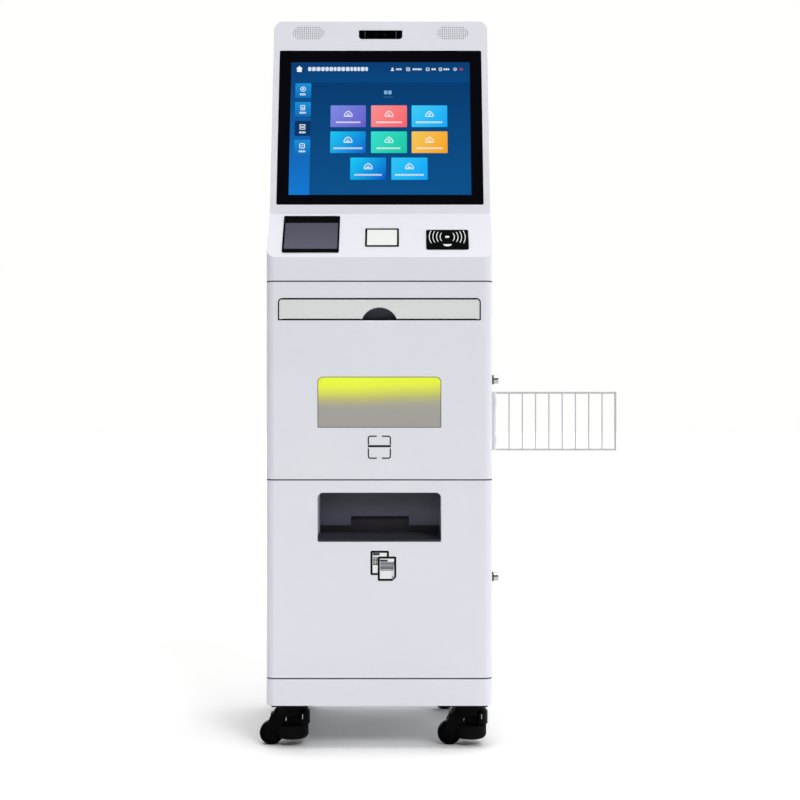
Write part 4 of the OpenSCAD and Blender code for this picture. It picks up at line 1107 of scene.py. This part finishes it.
foam = mouldedPlastic("speaker_foam", "foam")
places = speakerHoles(speakerField)
spreadOver("speaker_foam", plugTree(foam), places, "cabinet", foam)
print("speaker perforations: %d" % len(places))

# Floor, light and camera
floorSettings = {"size": 60.0, "tones": ((0.905, 0.905, 0.902), (0.885, 0.885, 0.884))}


def stageObject(name, points, faces, material):
    mesh = bpy.data.meshes.new(name)
    mesh.from_pydata(points, [], faces)
    mesh.materials.append(material)
    return putInScene(name, mesh)


def makeFloor(s):
    look = Look("pale_floor")
    cloud = look.noise(0.8, 3.0)
    fine = look.noise(120.0)
    material = look.shade({
        "Base Color": look.mix(cloud, *s["tones"]),
        "Roughness": 0.62 + 0.06 * fine,
        "Specular IOR Level": 0.15,
    })
    half = s["size"] / 2
    corners = [(-half, -half, 0), (half, -half, 0), (half, half, 0), (-half, half, 0)]
    floor = stageObject("floor", corners, [(0, 1, 2, 3)], material)


makeFloor(floorSettings)

backdropSettings = {"radius": 29.0, "height": 24.0, "sides": 48, "white": (1.0, 1.0, 0.992)}


# A white wall far round the kiosk: the camera sees it, and it gives no light
def makeBackdrop(s):
    look = Look("white_backdrop")
    material = look.shade({"Base Color": (0.0, 0.0, 0.0), "Specular IOR Level": 0.0,
                           "Emission Color": s["white"], "Emission Strength": 1.0})
    sides = s["sides"]
    turns = [math.tau * i / sides for i in range(sides)]
    points = [(s["radius"] * math.cos(turn), s["radius"] * math.sin(turn), z)
              for z in (0.0, s["height"]) for turn in turns]
    faces = [(i, i + sides, (i + 1) % sides + sides, (i + 1) % sides) for i in range(sides)]
    backdrop = stageObject("backdrop", points, faces, material)
    for ray in ("diffuse", "glossy", "transmission", "volume_scatter", "shadow"):
        setattr(backdrop, "visible_" + ray, False)


makeBackdrop(backdropSettings)

keyLight = {"way": (0.36, -0.66, 0.66), "energy": 1.06, "angle": math.radians(20.0)}
floorLight = {"way": (0, 0, 1), "at": (0.0, -0.42, 1.55), "energy": 0.50, "shape": "RECTANGLE", "size": 1.6,
              "size_y": 0.16, "spread": math.radians(28.0)}


def addLamp(name, kind, way, at=(0, 0, 0), **settings):
    data = bpy.data.lights.new(name, kind)
    for key, value in settings.items():
        setattr(data, key, value)
    lamp = putInScene(name, data)
    lamp.location = at
    lamp.rotation_euler = Vector(way).to_track_quat("Z", "Y").to_euler()
    lamp.visible_camera = False


addLamp("soft_key", "SUN", **keyLight)
addLamp("floor_light", "AREA", **floorLight)

# the sky is dim before the kiosk, white behind it, brightest overhead and light at its right
sky = {"colour": (1.0, 1.0, 0.992), "dim": 0.015, "back": 1.0, "rim": 0.1, "zenith": 2.5, "right": 0.45,
       "backFrom": (-0.1, 0.35), "backSide": (-0.6, -0.3), "rimUpTo": (0.05, 0.2),
       "zenithFrom": (0.74, 0.97), "rightFrom": (0.3, 0.95)}


def makeSky(s):
    look = Look("studio", "worlds", "Background", "Generated")
    sideways = look.node("ShaderNodeSeparateXYZ", {0: look.place})
    depth, height = [Wire(look, sideways.socket.node.outputs[axis]) for axis in (1, 2)]
    back = look.slide(depth, *s["backFrom"]) * look.slide(sideways, *s["backSide"])
    rim = (1.0 - look.slide(height, *s["rimUpTo"])) * (1.0 - back)
    zenith = look.slide(height, *s["zenithFrom"])
    right = look.slide(sideways, *s["rightFrom"])
    level = s["dim"] + s["back"] * back + s["rim"] * rim + s["zenith"] * zenith + s["right"] * right
    scene.world = look.shade({"Color": s["colour"], "Strength": level})


makeSky(sky)

cameraSettings = {"at": (0.0414, -3.232, 0.7004), "lens": 67.5, "sensor": 36.0}
cameraData = bpy.data.cameras.new("photo_camera")
cameraData.lens = cameraSettings["lens"]
cameraData.sensor_width = cameraSettings["sensor"]
cameraData.dof.use_dof = False
photoCamera = putInScene("photo_camera", cameraData)
photoCamera.location = cameraSettings["at"]
photoCamera.rotation_euler = (math.radians(90), 0, 0)
scene.camera = photoCamera
scene.view_settings.view_transform = "Standard"
print("floor, light and camera set")

bpy.context.view_layer.update()
